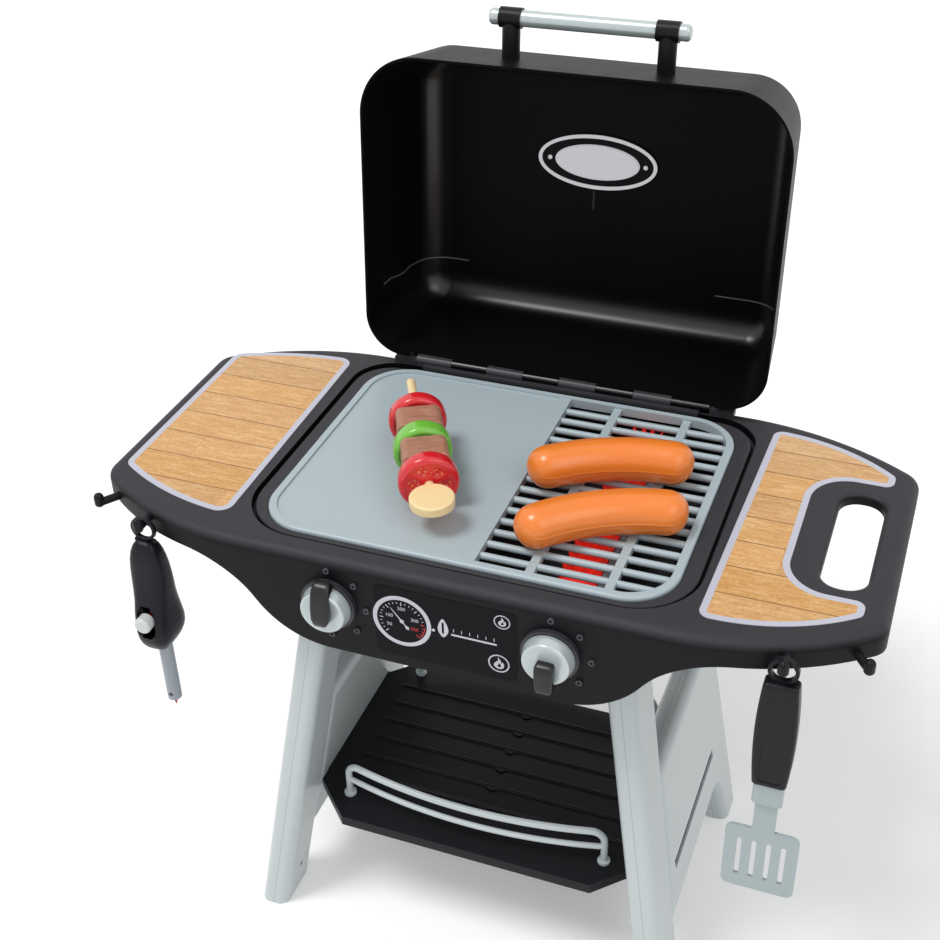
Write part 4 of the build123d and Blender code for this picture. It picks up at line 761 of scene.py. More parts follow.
def meat_plastic():
    """Brown meat plastic with fine fibres across the stick."""
    name = "Brown meat plastic"
    if name in bpy.data.materials:
        return bpy.data.materials[name]
    material, net, shader = new_material(name)
    x, y, z = net.split(net.spot())
    # Fibres run across the skewer, so the noise is stretched square to it
    along = net.plus(net.times(x, SKEWER_WAY.x), net.times(y, SKEWER_WAY.y))
    across = net.minus(net.times(x, -SKEWER_WAY.y), net.times(y, -SKEWER_WAY.x))
    spot = net.join(net.times(along, 520.0), net.times(across, 45.0),
                    net.times(z, 45.0))
    fibres = net.noise(spot, 1.0, 4.0, 0.5)
    patches = net.noise(net.spot(), 70.0, 3.0)
    base = net.blend(net.span(fibres, 0.3, 0.75), tuple(colours().meat), tint(148, 98, 78))
    base = net.blend(net.times(net.span(patches, 0.5, 0.75), 0.35), base, tint(206, 156, 132))
    net.feed(shader.inputs["Base Color"], base)
    net.feed(shader.inputs["Roughness"], net.span(patches, 0.3, 0.7, 0.42, 0.56))
    bump = net.add("ShaderNodeBump", {"Strength": 0.45, "Distance": 0.0005, "Height": fibres})
    net.feed(shader.inputs["Normal"], bump.outputs[0])
    return material


# Operators, one for each piece or group of like pieces


class GrillWorktop(bpy.types.Operator):
    """Gives the worktop its charcoal plastic with painted shade on upright faces, and rims the studs round
    the knobs in a lighter grey as a painted highlight.
    """
    bl_idname = "grill.worktop"
    bl_label = "Worktop"

    def execute(self, context):
        dress(["worktop"], deck_plastic())
        bm = bmesh.new()
        for middle_x, middle_z in KNOBS.values():
            for step in range(5):
                turn = math.pi * step / 4
                x = middle_x + STUD_RING * math.sin(turn)
                z = middle_z + STUD_RING * math.cos(turn)
                ring = [apron_spot(u, v, 1.55) for u, v in oval(x, z, 2.35, 2.35, 24)]
                bead(bm, ring, 0.75 * MM, closed=True, sides=8, up=Vector((0, 1, 0)))
        # Painted highlight: the rims are a lighter grey than the worktop, as where light catches them
        rim = moulded("Stud rim plastic", tint(66, 66, 72), 0.35, grain=0.1)
        settle("knob_stud_rims", bm, [rim], "stand")
        return {"FINISHED"}


class GrillStickers(bpy.types.Operator):
    """Builds the two shelf stickers with a silver border round printed planks."""
    bl_idname = "grill.stickers"
    bl_label = "Shelf stickers"

    def execute(self, context):
        edge = moulded("Silver sticker border", colours().sticker_edge, 0.32, grain=0.04, cloud=0.03)
        for side in ("left", "right"):
            node = f"shelf_label_{side}"
            outline = even_steps(top_outline(node), 4.0)
            inside = drawn_in(outline, surface_sizes().border / MM)
            bm = bmesh.new()
            sheet(bm, [outline, inside], 0.0, 0.6, place)
            sheet(bm, [inside], 0.0, 0.52, place, material=1)
            settle(f"shelf_sticker_{side}", bm, [edge, plank_print()], "stand", [node])
        return {"FINISHED"}


class GrillControlPanel(bpy.types.Operator):
    """Builds the printed control panel: temperature gauge, slider scale and flame signs."""
    bl_idname = "grill.control_panel"
    bl_label = "Control panel"

    def execute(self, context):
        silver, ground, red = silver_finish(), dark_print(), red_print()
        bm = bmesh.new()
        sheet(bm, [rounded_box(5.5, -54.0, 67.5, 39.0, 6.0)], 0.0, 0.35, apron_spot, material=1)
        self.gauge(bm)
        self.slider(bm)
        for x, z, radius in ((59.6, -26.7, 7.6), (56.0, -75.0, 10.0)):
            self.flame_sign(bm, x, z, radius)
        settle("control_sticker", bm, [silver, ground, red], "stand", ["control_label"])
        return {"FINISHED"}

    def gauge(self, bm):
        """The round thermometer with ticks, plain numbers and a needle."""
        x, z = GAUGE
        middle = Vector(GAUGE)
        rows = []
        for radius, height in ((28.3, 0.3), (28.0, 0.58), (26.4, 0.6), (24.3, 0.55), (24.0, 0.38)):
            rows.append([apron_spot(u, v, height) for u, v in oval(x, z, radius, radius, 72)])
        loft(bm, rows, ends=(False, False))
        sheet(bm, [oval(x, z, 24.1, 24.1, 72)], 0.3, 0.4, apron_spot, material=1)
        first, last, count = 222.0, -42.0, 24
        for step in range(count + 1):
            turn = math.radians(first + (last - first) * step / count)
            long = step % 4 == 0
            low, high = (18.0 if long else 19.6), 21.6
            half = 0.42 if long else 0.3
            way = Vector((math.cos(turn), math.sin(turn)))
            side = Vector((-way.y, way.x)) * half
            loop = [middle + way * low - side, middle + way * high - side, middle + way * high + side,
                    middle + way * low + side]
            sheet(bm, [[tuple(p) for p in loop]], 0.35, 0.5, apron_spot, material=2 if step > 19 else 0)
        arc = [math.radians(-4 - 38 * k / 12) for k in range(13)]
        outer = [(x + 22.6 * math.cos(t), z + 22.6 * math.sin(t)) for t in arc]
        inner = [(x + 21.9 * math.cos(t), z + 21.9 * math.sin(t)) for t in reversed(arc)]
        sheet(bm, [outer + inner], 0.35, 0.48, apron_spot, material=2)
        numbers = (("50", 205, 13.6, 0), ("100", 160, 13.0, 0), ("200", 90, 14.2, 0), ("300", 18, 13.0, 0),
                   ("350", -28, 13.4, 2))
        for text, degrees, radius, ink in numbers:
            turn = math.radians(degrees)
            self.number(bm, text, x + radius * math.cos(turn), z + radius * math.sin(turn), 5.2, ink)
        # The needle points up to the left, with a broad short tail
        turn = math.radians(128)
        way = Vector((math.cos(turn), math.sin(turn)))
        side = Vector((-way.y, way.x))
        blade = [middle + way * 17 + side * 0.25, middle + way * 17 - side * 0.25, middle - side * 0.75,
                 middle - way * 5 - side * 0.5, middle - way * 8.5 - side * 1.9, middle - way * 10.5,
                 middle - way * 8.5 + side * 1.9, middle - way * 5 + side * 0.5, middle + side * 0.75]
        sheet(bm, [[tuple(p) for p in blade]], 0.38, 0.56, apron_spot)
        sheet(bm, [oval(x, z, 2.1, 2.1, 24), oval(x, z, 1.1, 1.1, 24)], 0.4, 0.6, apron_spot)

    def number(self, bm, text, x, z, size, material):
        """A plain number on the panel."""
        curve = bpy.data.curves.new("number", "FONT")
        curve.body = text
        curve.size = size
        curve.align_x = curve.align_y = "CENTER"
        holder = bpy.data.objects.new("number", curve)
        bpy.context.scene.collection.objects.link(holder)
        drawn = bpy.data.meshes.new_from_object(holder.evaluated_get(bpy.context.evaluated_depsgraph_get()))
        bpy.data.objects.remove(holder)
        bpy.data.curves.remove(curve)
        made = {}
        for vertex in drawn.vertices:
            made[vertex.index] = bm.verts.new(apron_spot(x + vertex.co.x, z + vertex.co.y, 0.47))
        for face in drawn.polygons:
            bm.faces.new([made[i] for i in face.vertices]).material_index = material
        bpy.data.meshes.remove(drawn)

    def slider(self, bm):
        """The printed slide: an oval thumb on a line with six marks and a dot at its start."""
        loop = smooth_loop([(0, -10.5), (4.2, -5.5), (5.0, 0.0), (3.2, 6.0), (0.0, 10.5), (-3.2, 6.0),
                            (-5.0, 0.0), (-4.2, -5.5)])
        rows = []
        for share, height in ((1.0, 0.35), (0.96, 0.55), (0.7, 0.6)):
            rows.append([apron_spot(4.0 + u * share, -48.8 + v * share, height) for u, v in loop])
        loft(bm, rows, ends=(False, True))
        sheet(bm, [rounded_box(4.0, -48.5, 1.0, 6.4, 0.95)], 0.5, 0.6, apron_spot, material=1)
        sheet(bm, [rounded_box(33.0, -54.0, 21.5, 1.0, 0.9)], 0.35, 0.5, apron_spot)
        sheet(bm, [oval(-5.2, -53.4, 1.6, 1.6, 20)], 0.35, 0.5, apron_spot)
        for step in range(6):
            x = 14.0 + step * 7.6
            sheet(bm, [rounded_box(x, -48.9, 0.32, 1.9, 0.3, 2)], 0.35, 0.48, apron_spot)

    def flame_sign(self, bm, x, z, radius):
        """A flame in a ring."""
        thick = radius * 0.13
        ring = [oval(x, z, reach, reach, 40) for reach in (radius, radius - thick)]
        sheet(bm, ring, 0.35, 0.5, apron_spot)
        outer = [(-0.1, -0.6), (0.34, -0.5), (0.5, -0.12), (0.36, 0.22), (0.26, 0.02), (0.18, 0.36),
                 (-0.08, 0.7), (-0.06, 0.34), (-0.36, 0.04), (-0.46, -0.3)]
        inner = [(0.04, -0.44), (0.2, -0.3), (0.16, -0.08), (0.02, 0.1), (-0.04, -0.12), (-0.16, -0.28)]
        loops = [[(x + u * radius, z + v * radius) for u, v in smooth_loop(shape, 5)]
                 for shape in (outer, inner)]
        sheet(bm, loops, 0.35, 0.5, apron_spot)


class GrillFirebox(bpy.types.Operator):
    """Gives the black insert and the hinge strip their plastic."""
    bl_idname = "grill.firebox"
    bl_label = "Fire insert and hinge"

    def execute(self, context):
        # The worktop's plastic, with its painted shade on upright faces
        dress(["firebox"], deck_plastic())
        dress(["hinge_rail"], moulded("Dark grey hinge plastic", tint(52, 52, 57), 0.45, grain=0.2))
        dress(["hinge_pin"], moulded("Blackened pin steel", tint(30, 30, 32), 0.4))
        # A low ridge closes the view under the open hood
        bm = bmesh.new()
        ridge = ((170.9, -3.0), (170.9, 7.2), (171.7, 8.0), (173.2, 8.0), (174.0, 7.2), (174.0, -3.0))
        loft(bm, [[place(x, y, z) for y, z in ridge] for x in (-169.0, 169.0)])
        settle("hinge_ridge", bm, [deck_plastic()], "stand")
        return {"FINISHED"}


class GrillPlate(bpy.types.Operator):
    """Gives the cooking plate its blue-grey plastic."""
    bl_idname = "grill.plate"
    bl_label = "Cooking plate"

    def execute(self, context):
        dress(["cooking_plate"], plate_plastic())
        return {"FINISHED"}


class GrillKnobs(bpy.types.Operator):
    """Builds the dished caps and the rounded levers, and finishes the bezels and the parts behind."""
    bl_idname = "grill.knobs"
    bl_label = "Knobs"

    def execute(self, context):
        black = moulded("Satin black lever plastic", tint(22, 21, 22), 0.3, grain=0.05, cloud=0.06,
                        specular=0.42)
        # The cap's radius at each height over its rim
        cap = ((0.4, -2.3), (5.0, -2.2), (9.0, -1.9), (13.0, -1.35), (16.5, -0.7), (18.8, -0.2), (20.0, 0.0),
               (20.7, -0.05), (21.2, -0.35), (21.6, -1.0), (21.9, -2.2), (23.2, -8.2), (23.9, -11.4),
               (23.6, -11.8), (0.4, -11.8))
        # Each row of a lever: how far along it is, its half width and its height over the cap's rim
        tongue = ((-12.0, 1.8, 2.4), (-11.5, 4.0, 4.8), (-10.0, 6.0, 6.5), (-7.2, 7.5, 7.3), (-3.0, 8.4, 7.5),
                  (3.0, 8.7, 6.9), (10.0, 8.8, 5.8), (16.0, 8.9, 4.4), (21.0, 9.0, 2.8), (24.5, 8.9, 1.0),
                  (27.5, 8.4, -1.2), (29.6, 7.4, -3.4), (30.5, 5.4, -5.6))
        block = ((-2.6, 5.6, 0.4), (-2.2, 7.0, 2.6), (-1.0, 7.9, 4.7), (0.8, 8.4, 6.3), (3.0, 8.6, 7.2),
                 (6.0, 8.6, 7.5), (16.0, 8.4, 7.5), (24.0, 7.9, 7.4), (26.6, 7.5, 7.0), (27.3, 7.0, 6.0),
                 (27.6, 6.2, 4.6))
        for side, rows, way in (("left", tongue, 1), ("right", block, -1)):
            x, z = KNOBS[side]
            face_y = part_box(f"knob_cap_{side}")[0].y

            def spot(across, up, out):
                """A point on this knob, from its middle and its rim."""
                return Vector(((x + across) * MM, face_y - out * MM, (z + up) * MM + DECK_Z))

            bm = bmesh.new()
            turned(bm, cap, spot, steps=96)
            body = f"{side}_knob"
            settle(f"knob_dish_{side}", bm, [knob_plastic()], body, [f"knob_cap_{side}"], sharp=50.0)
            bm = bmesh.new()
            loft(bm, [[spot(way * u, way * along, h) for u, h in self.arch(half, high, along)]
                      for along, half, high in rows])
            settle(f"knob_grip_{side}", bm, [black], body, [f"knob_lever_{side}"], sharp=50.0)
        bezel = moulded("Dark grey bezel plastic", tint(50, 50, 56), 0.4)
        dress(["knob_bezel_left", "knob_bezel_right"], bezel)
        white = moulded("Natural white spindle plastic", tint(214, 214, 208), 0.42, grain=0.12)
        dress(["knob_spindle_left", "knob_spindle_right"], white)
        dress(["click_leaf_left", "click_leaf_right"], plated_steel())
        return {"FINISHED"}

    def arch(self, half, high, along):
        """The cross-section of a lever: upright sides and a top with soft edges."""
        low = -2.6 if along < 21.0 else -2.6 - min(1.0, (along - 21.0) / 3.0) * 7.6
        soft = min(2.6, half * 0.6, (high - low) * 0.6)
        turns = [math.pi / 2 * k / 5 for k in range(6)]
        right = [(half - soft + soft * math.cos(t), high - soft + soft * math.sin(t)) for t in turns]
        return [(half, low), *right, *[(-u, h) for u, h in reversed(right)], (-half, low)]


class GrillRoller(bpy.types.Operator):
    """Gives the flame roller its dark core, red flames and pale ash cover."""
    bl_idname = "grill.roller"
    bl_label = "Flame roller"

    def execute(self, context):
        dress(["flame_roller"], moulded("Dark roller plastic", tint(52, 54, 57), 0.5, grain=0.3))
        # Painted light: the red flames glow and are darker at their roots
        dress(["flame_comb"], flame_plastic_painted_light())
        dress(["ash_cover"], moulded("Pale ash plastic", tint(178, 184, 188), 0.35, grain=0.1))
        return {"FINISHED"}


class GrillHooks(bpy.types.Operator):
    """Gives the four hooks their black plastic."""
    bl_idname = "grill.hooks"
    bl_label = "Hooks"

    def execute(self, context):
        dress(["tool_hook_left", "tool_hook_right", "corner_hook_left", "corner_hook_right"], black_plastic())
        return {"FINISHED"}


class GrillLid(bpy.types.Operator):
    """Gives the lid its gloss and adds the moulded step lines with a painted highlight, and a sheet of
    painted shadow for the slot inside it.
    """
    bl_idname = "grill.lid"
    bl_label = "Lid"

    def execute(self, context):
        dress(["lid_shell"], lid_plastic())
        dress(["lid_handle_posts"], black_plastic())
        dress(["lid_handle_bar"], knob_plastic())
        bm = bmesh.new()
        for side, reach in ((-1, 149.0), (1, 131.0)):
            bead(bm, [lid_spot(side * x, y, z) for x, y, z in self.step_line(reach)], 0.9 * MM, sides=8)
        # Painted highlight: the step beads are a lighter grey than the lid, as where light catches the step
        settle("lid_step_lines", bm, [moulded("Hood step edge", tint(88, 88, 96), 0.3, grain=0.05)], "lid")
        # Painted shadow: a near-black sheet on the roof stands in for the slot's shade
        bm = bmesh.new()
        loop = rounded_box(-7.5, 7.5, 1.1, 10.0, 1.0)
        sheet(bm, [loop], LID_ROOF + 0.2, LID_ROOF - 0.4, lid_spot)
        settle("lid_slot_shadow", bm, [moulded("Deep slot shadow", tint(3, 3, 3), 0.6)], "lid")
        return {"FINISHED"}

    def step_line(self, reach):
        """A line up the lid's side wall, round the rolled edge and a little way along its inside."""
        y, lean = 96.0, math.tan(LID_TAPER)
        inset, radius, foot = 3.1, 33.6, -4.0
        wall = LID_WALL_X - inset
        centre_z = LID_ROOF - radius
        centre_x = wall - (centre_z - foot) * lean - radius / math.cos(LID_TAPER)
        heights = (30.0, 45.0, 60.0, 75.0, 90.0)
        points = [(wall - (z - foot) * lean, y + 2.0 * math.sin(z / 9.0), z) for z in heights]
        for step in range(9):
            turn = LID_TAPER + (math.pi / 2 - LID_TAPER) * step / 8
            points.append((centre_x + radius * math.cos(turn), y, centre_z + radius * math.sin(turn)))
        points += [(x, y, LID_ROOF) for x in (centre_x - 6.0, (centre_x + reach) / 2, reach)]
        return points


class GrillBadge(bpy.types.Operator):
    """Finishes the plain oval badge with a silver rim, a dark band and two small studs; the silver is painted
    brighter and glows a little.
    """
    bl_idname = "grill.badge"
    bl_label = "Lid badge"

    def execute(self, context):
        dress(["lid_badge_plate"], dark_print())
        dress(["lid_badge_trim"], glowing_badge_silver())
        bm = bmesh.new()
        front = LID_ROOF - BADGE_THICK
        for side in (-1, 1):
            middle = BADGE[0] + side * 52.0
            profile = ((2.4, 0.2), (2.4, -0.5), (1.9, -0.9), (1.0, -1.1), (0.2, -1.15))
            turned(bm, profile, lambda u, v, h: lid_spot(middle + u, BADGE[1] + v, front + h), steps=24)
        settle("badge_studs", bm, [glowing_badge_silver()], "lid")
        bm = bmesh.new()
        ring = [lid_spot(u, v, front - 1.2) for u, v in oval(*BADGE, 44.0, 17.2, 64)]
        bead(bm, ring, 0.7 * MM, closed=True, sides=8, up=Vector((0, 1, 0)))
        settle("badge_panel_bead", bm, [glowing_badge_silver()], "lid")
        return {"FINISHED"}


class GrillFrames(bpy.types.Operator):
    """Gives the side frames their glossy grey and marks the seam between their halves."""
    bl_idname = "grill.frames"
    bl_label = "Side frames"

    def execute(self, context):
        dress([f"side_frame_{side}_{half}" for side in ("left", "right") for half in ("inner", "outer")],
              frame_plastic())
        return {"FINISHED"}


class GrillFasteners(bpy.types.Operator):
    """Gives the screws their plated steel, with a near-black cross in each screw head as the painted shadow
    of its cross recess.
    """
    bl_idname = "grill.fasteners"
    bl_label = "Fasteners"

    def execute(self, context):
        dress(["frame_screws", "deck_screws", "lid_handle_screws"], plated_steel())
        # Painted shadow: the crosses are near-black, where the recesses hold shade
        dark = moulded("Recess shadow", tint(18, 18, 20), 0.6)
        for body, nodes in (("stand", ("frame_screws", "deck_screws")), ("lid", ("lid_handle_screws",))):
            bm = bmesh.new()
            for node in nodes:
                self.recess_shadows(bm, node)
            settle(f"{body}_screw_recesses", bm, [dark], body)
        return {"FINISHED"}

    def head_way(self, node, point):
        """The way a screw's head faces. The frame screws face inwards and down."""
        if node == "deck_screws":
            return Vector((0, 0, 1))
        if node == "lid_handle_screws":
            return (lid_spot(0, 1, 0) - lid_spot(0, 0, 0)).normalized()
        side = 1 if point.x > 0 else -1
        return Vector((-side * math.cos(FRAME_TILT), 0, -math.sin(FRAME_TILT)))

    def recess_shadows(self, bm, node):
        """A cross of painted shadow on the head of each screw in a node. One screw's points lie within a
        short reach.
        """
        reach = 0.034
        left = [v.co.copy() for v in NODES[node].data.vertices]
        while left:
            seed = left[0]
            near = [p for p in left if (p - seed).length < reach]
            left = [p for p in left if (p - seed).length >= reach]
            way = self.head_way(node, seed)
            top = max(p.dot(way) for p in near)
            face = [p for p in near if p.dot(way) > top - 1e-5]
            middle = sum(face, Vector()) / len(face)
            self.cross(bm, middle, way, max((p - middle).length for p in face))

    def cross(self, bm, middle, out, radius):
        """A small dark cross just proud of a head, painted shadow for its recess."""
        across = out.orthogonal().normalized()
        rise = out.cross(across)
        long, half = radius * 0.62, radius * 0.14
        corners = ((long, half), (half, half), (half, long), (-half, long), (-half, half), (-long, half),
                   (-long, -half), (-half, -half), (-half, -long), (half, -long), (half, -half),
                   (long, -half))
        rows = []
        for height in (-0.02 * MM, 0.12 * MM):
            rows.append([middle + out * height + across * u + rise * v for u, v in corners])
        loft(bm, rows, ends=(False, True))


class GrillShelf(bpy.types.Operator):
    """Gives the lower shelf its black plastic and the rails their grey."""
    bl_idname = "grill.shelf"
    bl_label = "Lower shelf"

    def execute(self, context):
        dress(["lower_shelf"], black_plastic())
        dress(["shelf_rail_front", "shelf_rail_rear"], rail_plastic())
        return {"FINISHED"}


class GrillSausages(bpy.types.Operator):
    """Builds the two glossy sausages with gathered ends and a mould seam."""
    bl_idname = "grill.sausages"
    bl_label = "Sausages"

    def execute(self, context):
        skin = moulded("Orange sausage plastic", colours().sausage, 0.3, grain=0.04, cloud=0.05, coat=0.25,
                       soft=0.06)
        for name, ends in (("front", ((65.0, -100.0), (166.0, -45.0))),
                           ("rear", ((46.0, -8.0), (152.0, 34.0)))):
            bm = bmesh.new()
            self.skin(bm, *ends)
            settle(f"sausage_skin_{name}", bm, [skin], f"{name}_sausage", [f"sausage_{name}"], sharp=80.0)
        return {"FINISHED"}

    def skin(self, bm, start, end):
        """One bowed skin from a row of rings."""
        radius, bow, blunt = 21.0, 9.0, 2.25
        seam = surface_sizes().seam / MM
        a, b = Vector(start), Vector(end)
        chord = (b - a).length
        way = (b - a).normalized()
        side = Vector((-(b - a).y, (b - a).x)).normalized()
        bend = (chord * chord / 4 + bow * bow) / (2 * bow)
        centre = (a + b) / 2 + side * (bow - bend)
        half = math.asin(chord / 2 / bend)
        length = 2 * half * bend
        spots = [-radius + step for step in (0.02, 0.3, 1, 2, 3.2, 5, 7.5, 10.5, 14, 17.5)] + [0.0]
        inner = [length * k / 24 for k in range(1, 24)]
        places = spots + inner + [length - s for s in reversed(spots)]
        turns = once_round(56)
        # Closer steps on both sides of the seam
        for base in (0.0, math.pi):
            turns += [base + math.radians(d) for d in (-2.2, -1.1, 1.1, 2.2)]
        turns = sorted(t % (2 * math.pi) for t in turns)
        rows = []
        for s in places:
            past = max(0.0, -s, s - length)
            share = min(1.0, past / radius)
            size = max(radius * max(0.0, 1 - share**blunt) ** (1 / blunt), 0.35)
            tip = math.exp(-(radius - past) / 3.6) if past else 0.0
            turn = half - s / bend
            out = side * math.cos(turn) - way * math.sin(turn)
            middle = centre + out * bend
            row = []
            for t in turns:
                fold = 0.13 * tip * (math.cos(7 * t + 0.6) + 0.5 * math.cos(11 * t)) * size / max(size, 2.0)
                near = min(abs(t % math.pi), math.pi - t % math.pi)
                ridge = seam * max(0.0, 1 - near / math.radians(2.0)) - 0.02
                pinch = tip * 0.4 * math.cos(7 * t + 0.6) * min(1.0, size / 4)
                r = size * (1 - 0.35 * abs(fold)) - pinch + min(ridge, size * 0.1) - 0.25
                p = middle - out * r * math.cos(t)
                row.append(place(p.x, p.y, radius + 0.3 + r * math.sin(t)))
            rows.append(row)
        loft(bm, rows)


class GrillSkewer(bpy.types.Operator):
    """Builds the tomato slices and the pepper ring, and finishes the meat cubes and the stick."""
    bl_idname = "grill.skewer"
    bl_label = "Skewer"

    def execute(self, context):
        look = colours()
        dress(["meat_cube_rear", "meat_cube_front"], meat_plastic())
        stick = moulded("Cream stick plastic", look.stick, 0.3, grain=0.05, cloud=0.03, soft=0.05)
        dress(["skewer_stick"], stick)
        skin = moulded("Red tomato plastic", look.tomato, 0.2, grain=0.03, cloud=0.05, coat=0.3, soft=0.06)
        seeds = moulded("Tomato seed plastic", look.seeds, 0.24, grain=0.05, cloud=0.2, coat=0.3)
        for name, start in (("rear", -34.15), ("front", 71.45)):
            bm = bmesh.new()
            self.slice(bm, start, 17.0, 28.5, 0.0, surface_sizes().pulp / MM)
            settle(f"tomato_{name}", bm, [skin, seeds], "skewer", [f"tomato_slice_{name}"], sharp=60.0)
        green = moulded("Green pepper plastic", look.pepper, 0.24, grain=0.03, cloud=0.05, coat=0.25,
                        soft=0.06)
        pale = moulded("Pale pepper flesh plastic", tint(176, 222, 120), 0.35, grain=0.08, cloud=0.1)
        bm = bmesh.new()
        self.slice(bm, 17.15, 20.0, 28.5, 0.5, 0.0)
        settle("pepper_slice", bm, [green, pale], "skewer", ["pepper_ring"], sharp=60.0)
        return {"FINISHED"}

    def slice(self, bm, start, thick, outer, lobes, relief):
        """A round slice with a rolled edge, a rim line and a carved face on both sides."""
        steps = 120
        middle = start + thick / 2
        half = thick / 2
        bore = 4.7
        face = [(24.2, 0.35), (23.5, 0.9)]
        face += [(23.5 - (23.5 - bore) * k / 16, 0.9) for k in range(1, 17)]
        profile = []
        for k in range(9):
            turn = math.pi / 2 * k / 8
            profile.append((outer - 5.0 + 5.0 * math.cos(turn), half - 5.0 + 5.0 * math.sin(turn)))
        turns = once_round(steps)

        def ring(radius, height, side, carved=0.0):
            """One ring of the slice. side is 1 or -1, and carved sinks the seed chambers."""
            row = []
            for t in turns:
                r = radius - lobes * (0.5 + 0.5 * math.cos(5 * t)) * (radius / outer) ** 2
                depth = carved * self.pulp(radius, t)
                row.append(skewer_spot(r * math.cos(t), r * math.sin(t), middle + side * (height - depth)))
            return row

        rows = [ring(bore, half - 0.9, 1), *[ring(r, half - d, 1, relief) for r, d in reversed(face[:-1])]]
        rows += [ring(r, h, 1) for r, h in reversed(profile)]
        rows += [ring(r, h, -1) for r, h in profile]
        rows += [ring(r, half - d, -1, relief) for r, d in face]
        made = loft(bm, rows, ends=(False, False))
        band(bm, made[-1], made[0])
        if relief or lobes:
            for face_made in bm.faces:
                centre = face_made.calc_center_median()
                spot = centre - skewer_spot(0, 0, middle)
                along = spot.x * SKEWER_WAY.x + spot.y * SKEWER_WAY.y
                across = -spot.x * SKEWER_WAY.y + spot.y * SKEWER_WAY.x
                radius = math.hypot(across, spot.z) / MM
                if abs(along) / MM < half - 0.95 + (0.2 if lobes else 0.0) or not 6.0 < radius < 22.5:
                    if not (relief and abs(along) / MM > half - 3.5 and 6.0 < radius < 22.0):
                        continue
                if lobes or self.seed(radius, math.atan2(spot.z, across)):
                    face_made.material_index = 1

    def pulp(self, radius, turn):
        """How deep the seed chambers are at a place on a slice, from 0 to 1."""
        ring = math.exp(-((radius - 14.5) / 5.0) ** 4)
        wall = 0.5 + 0.5 * math.cos(6 * turn + 0.8)
        ripple = 0.25 * math.sin(radius * 1.9 + 3 * math.sin(4 * turn)) * math.sin(17 * turn)
        return max(0.0, ring * (wall + ripple))

    def seed(self, radius, turn):
        """Whether a place on a slice is a seed or pale pulp."""
        value = math.sin(radius * 1.35 + 2.2 * math.sin(5 * turn)) + math.sin(13 * turn + radius * 0.7)
        return value > 1.15 and self.pulp(radius, turn) > 0.25


def hanging_eye(bm, side):
    """The ring a tool hangs by, with the short web under it."""
    inner, outer, half, soft = 9.8, 13.0, 2.5, 0.9
    section = [(inner + soft, -half), (outer - soft, -half), (outer, soft - half), (outer, half - soft),
               (outer - soft, half), (inner + soft, half), (inner, half - soft), (inner, soft - half)]
    rows = []
    for r, y in section + section[:1]:
        rows.append([tool_spot(side, r * math.cos(t), y, r * math.sin(t)) for t in once_round(56)])
    loft(bm, rows, ends=(False, False))
    bmesh.ops.remove_doubles(bm, verts=bm.verts, dist=1e-7)
    web = [(10.0, -11.2), (10.6, -14.2), (-10.6, -14.2), (-10.0, -11.2), (-5.0, -12.6), (5.0, -12.6)]
    loft(bm, [[tool_spot(side, x, y, z) for x, z in web] for y in (-2.4, 2.4)])


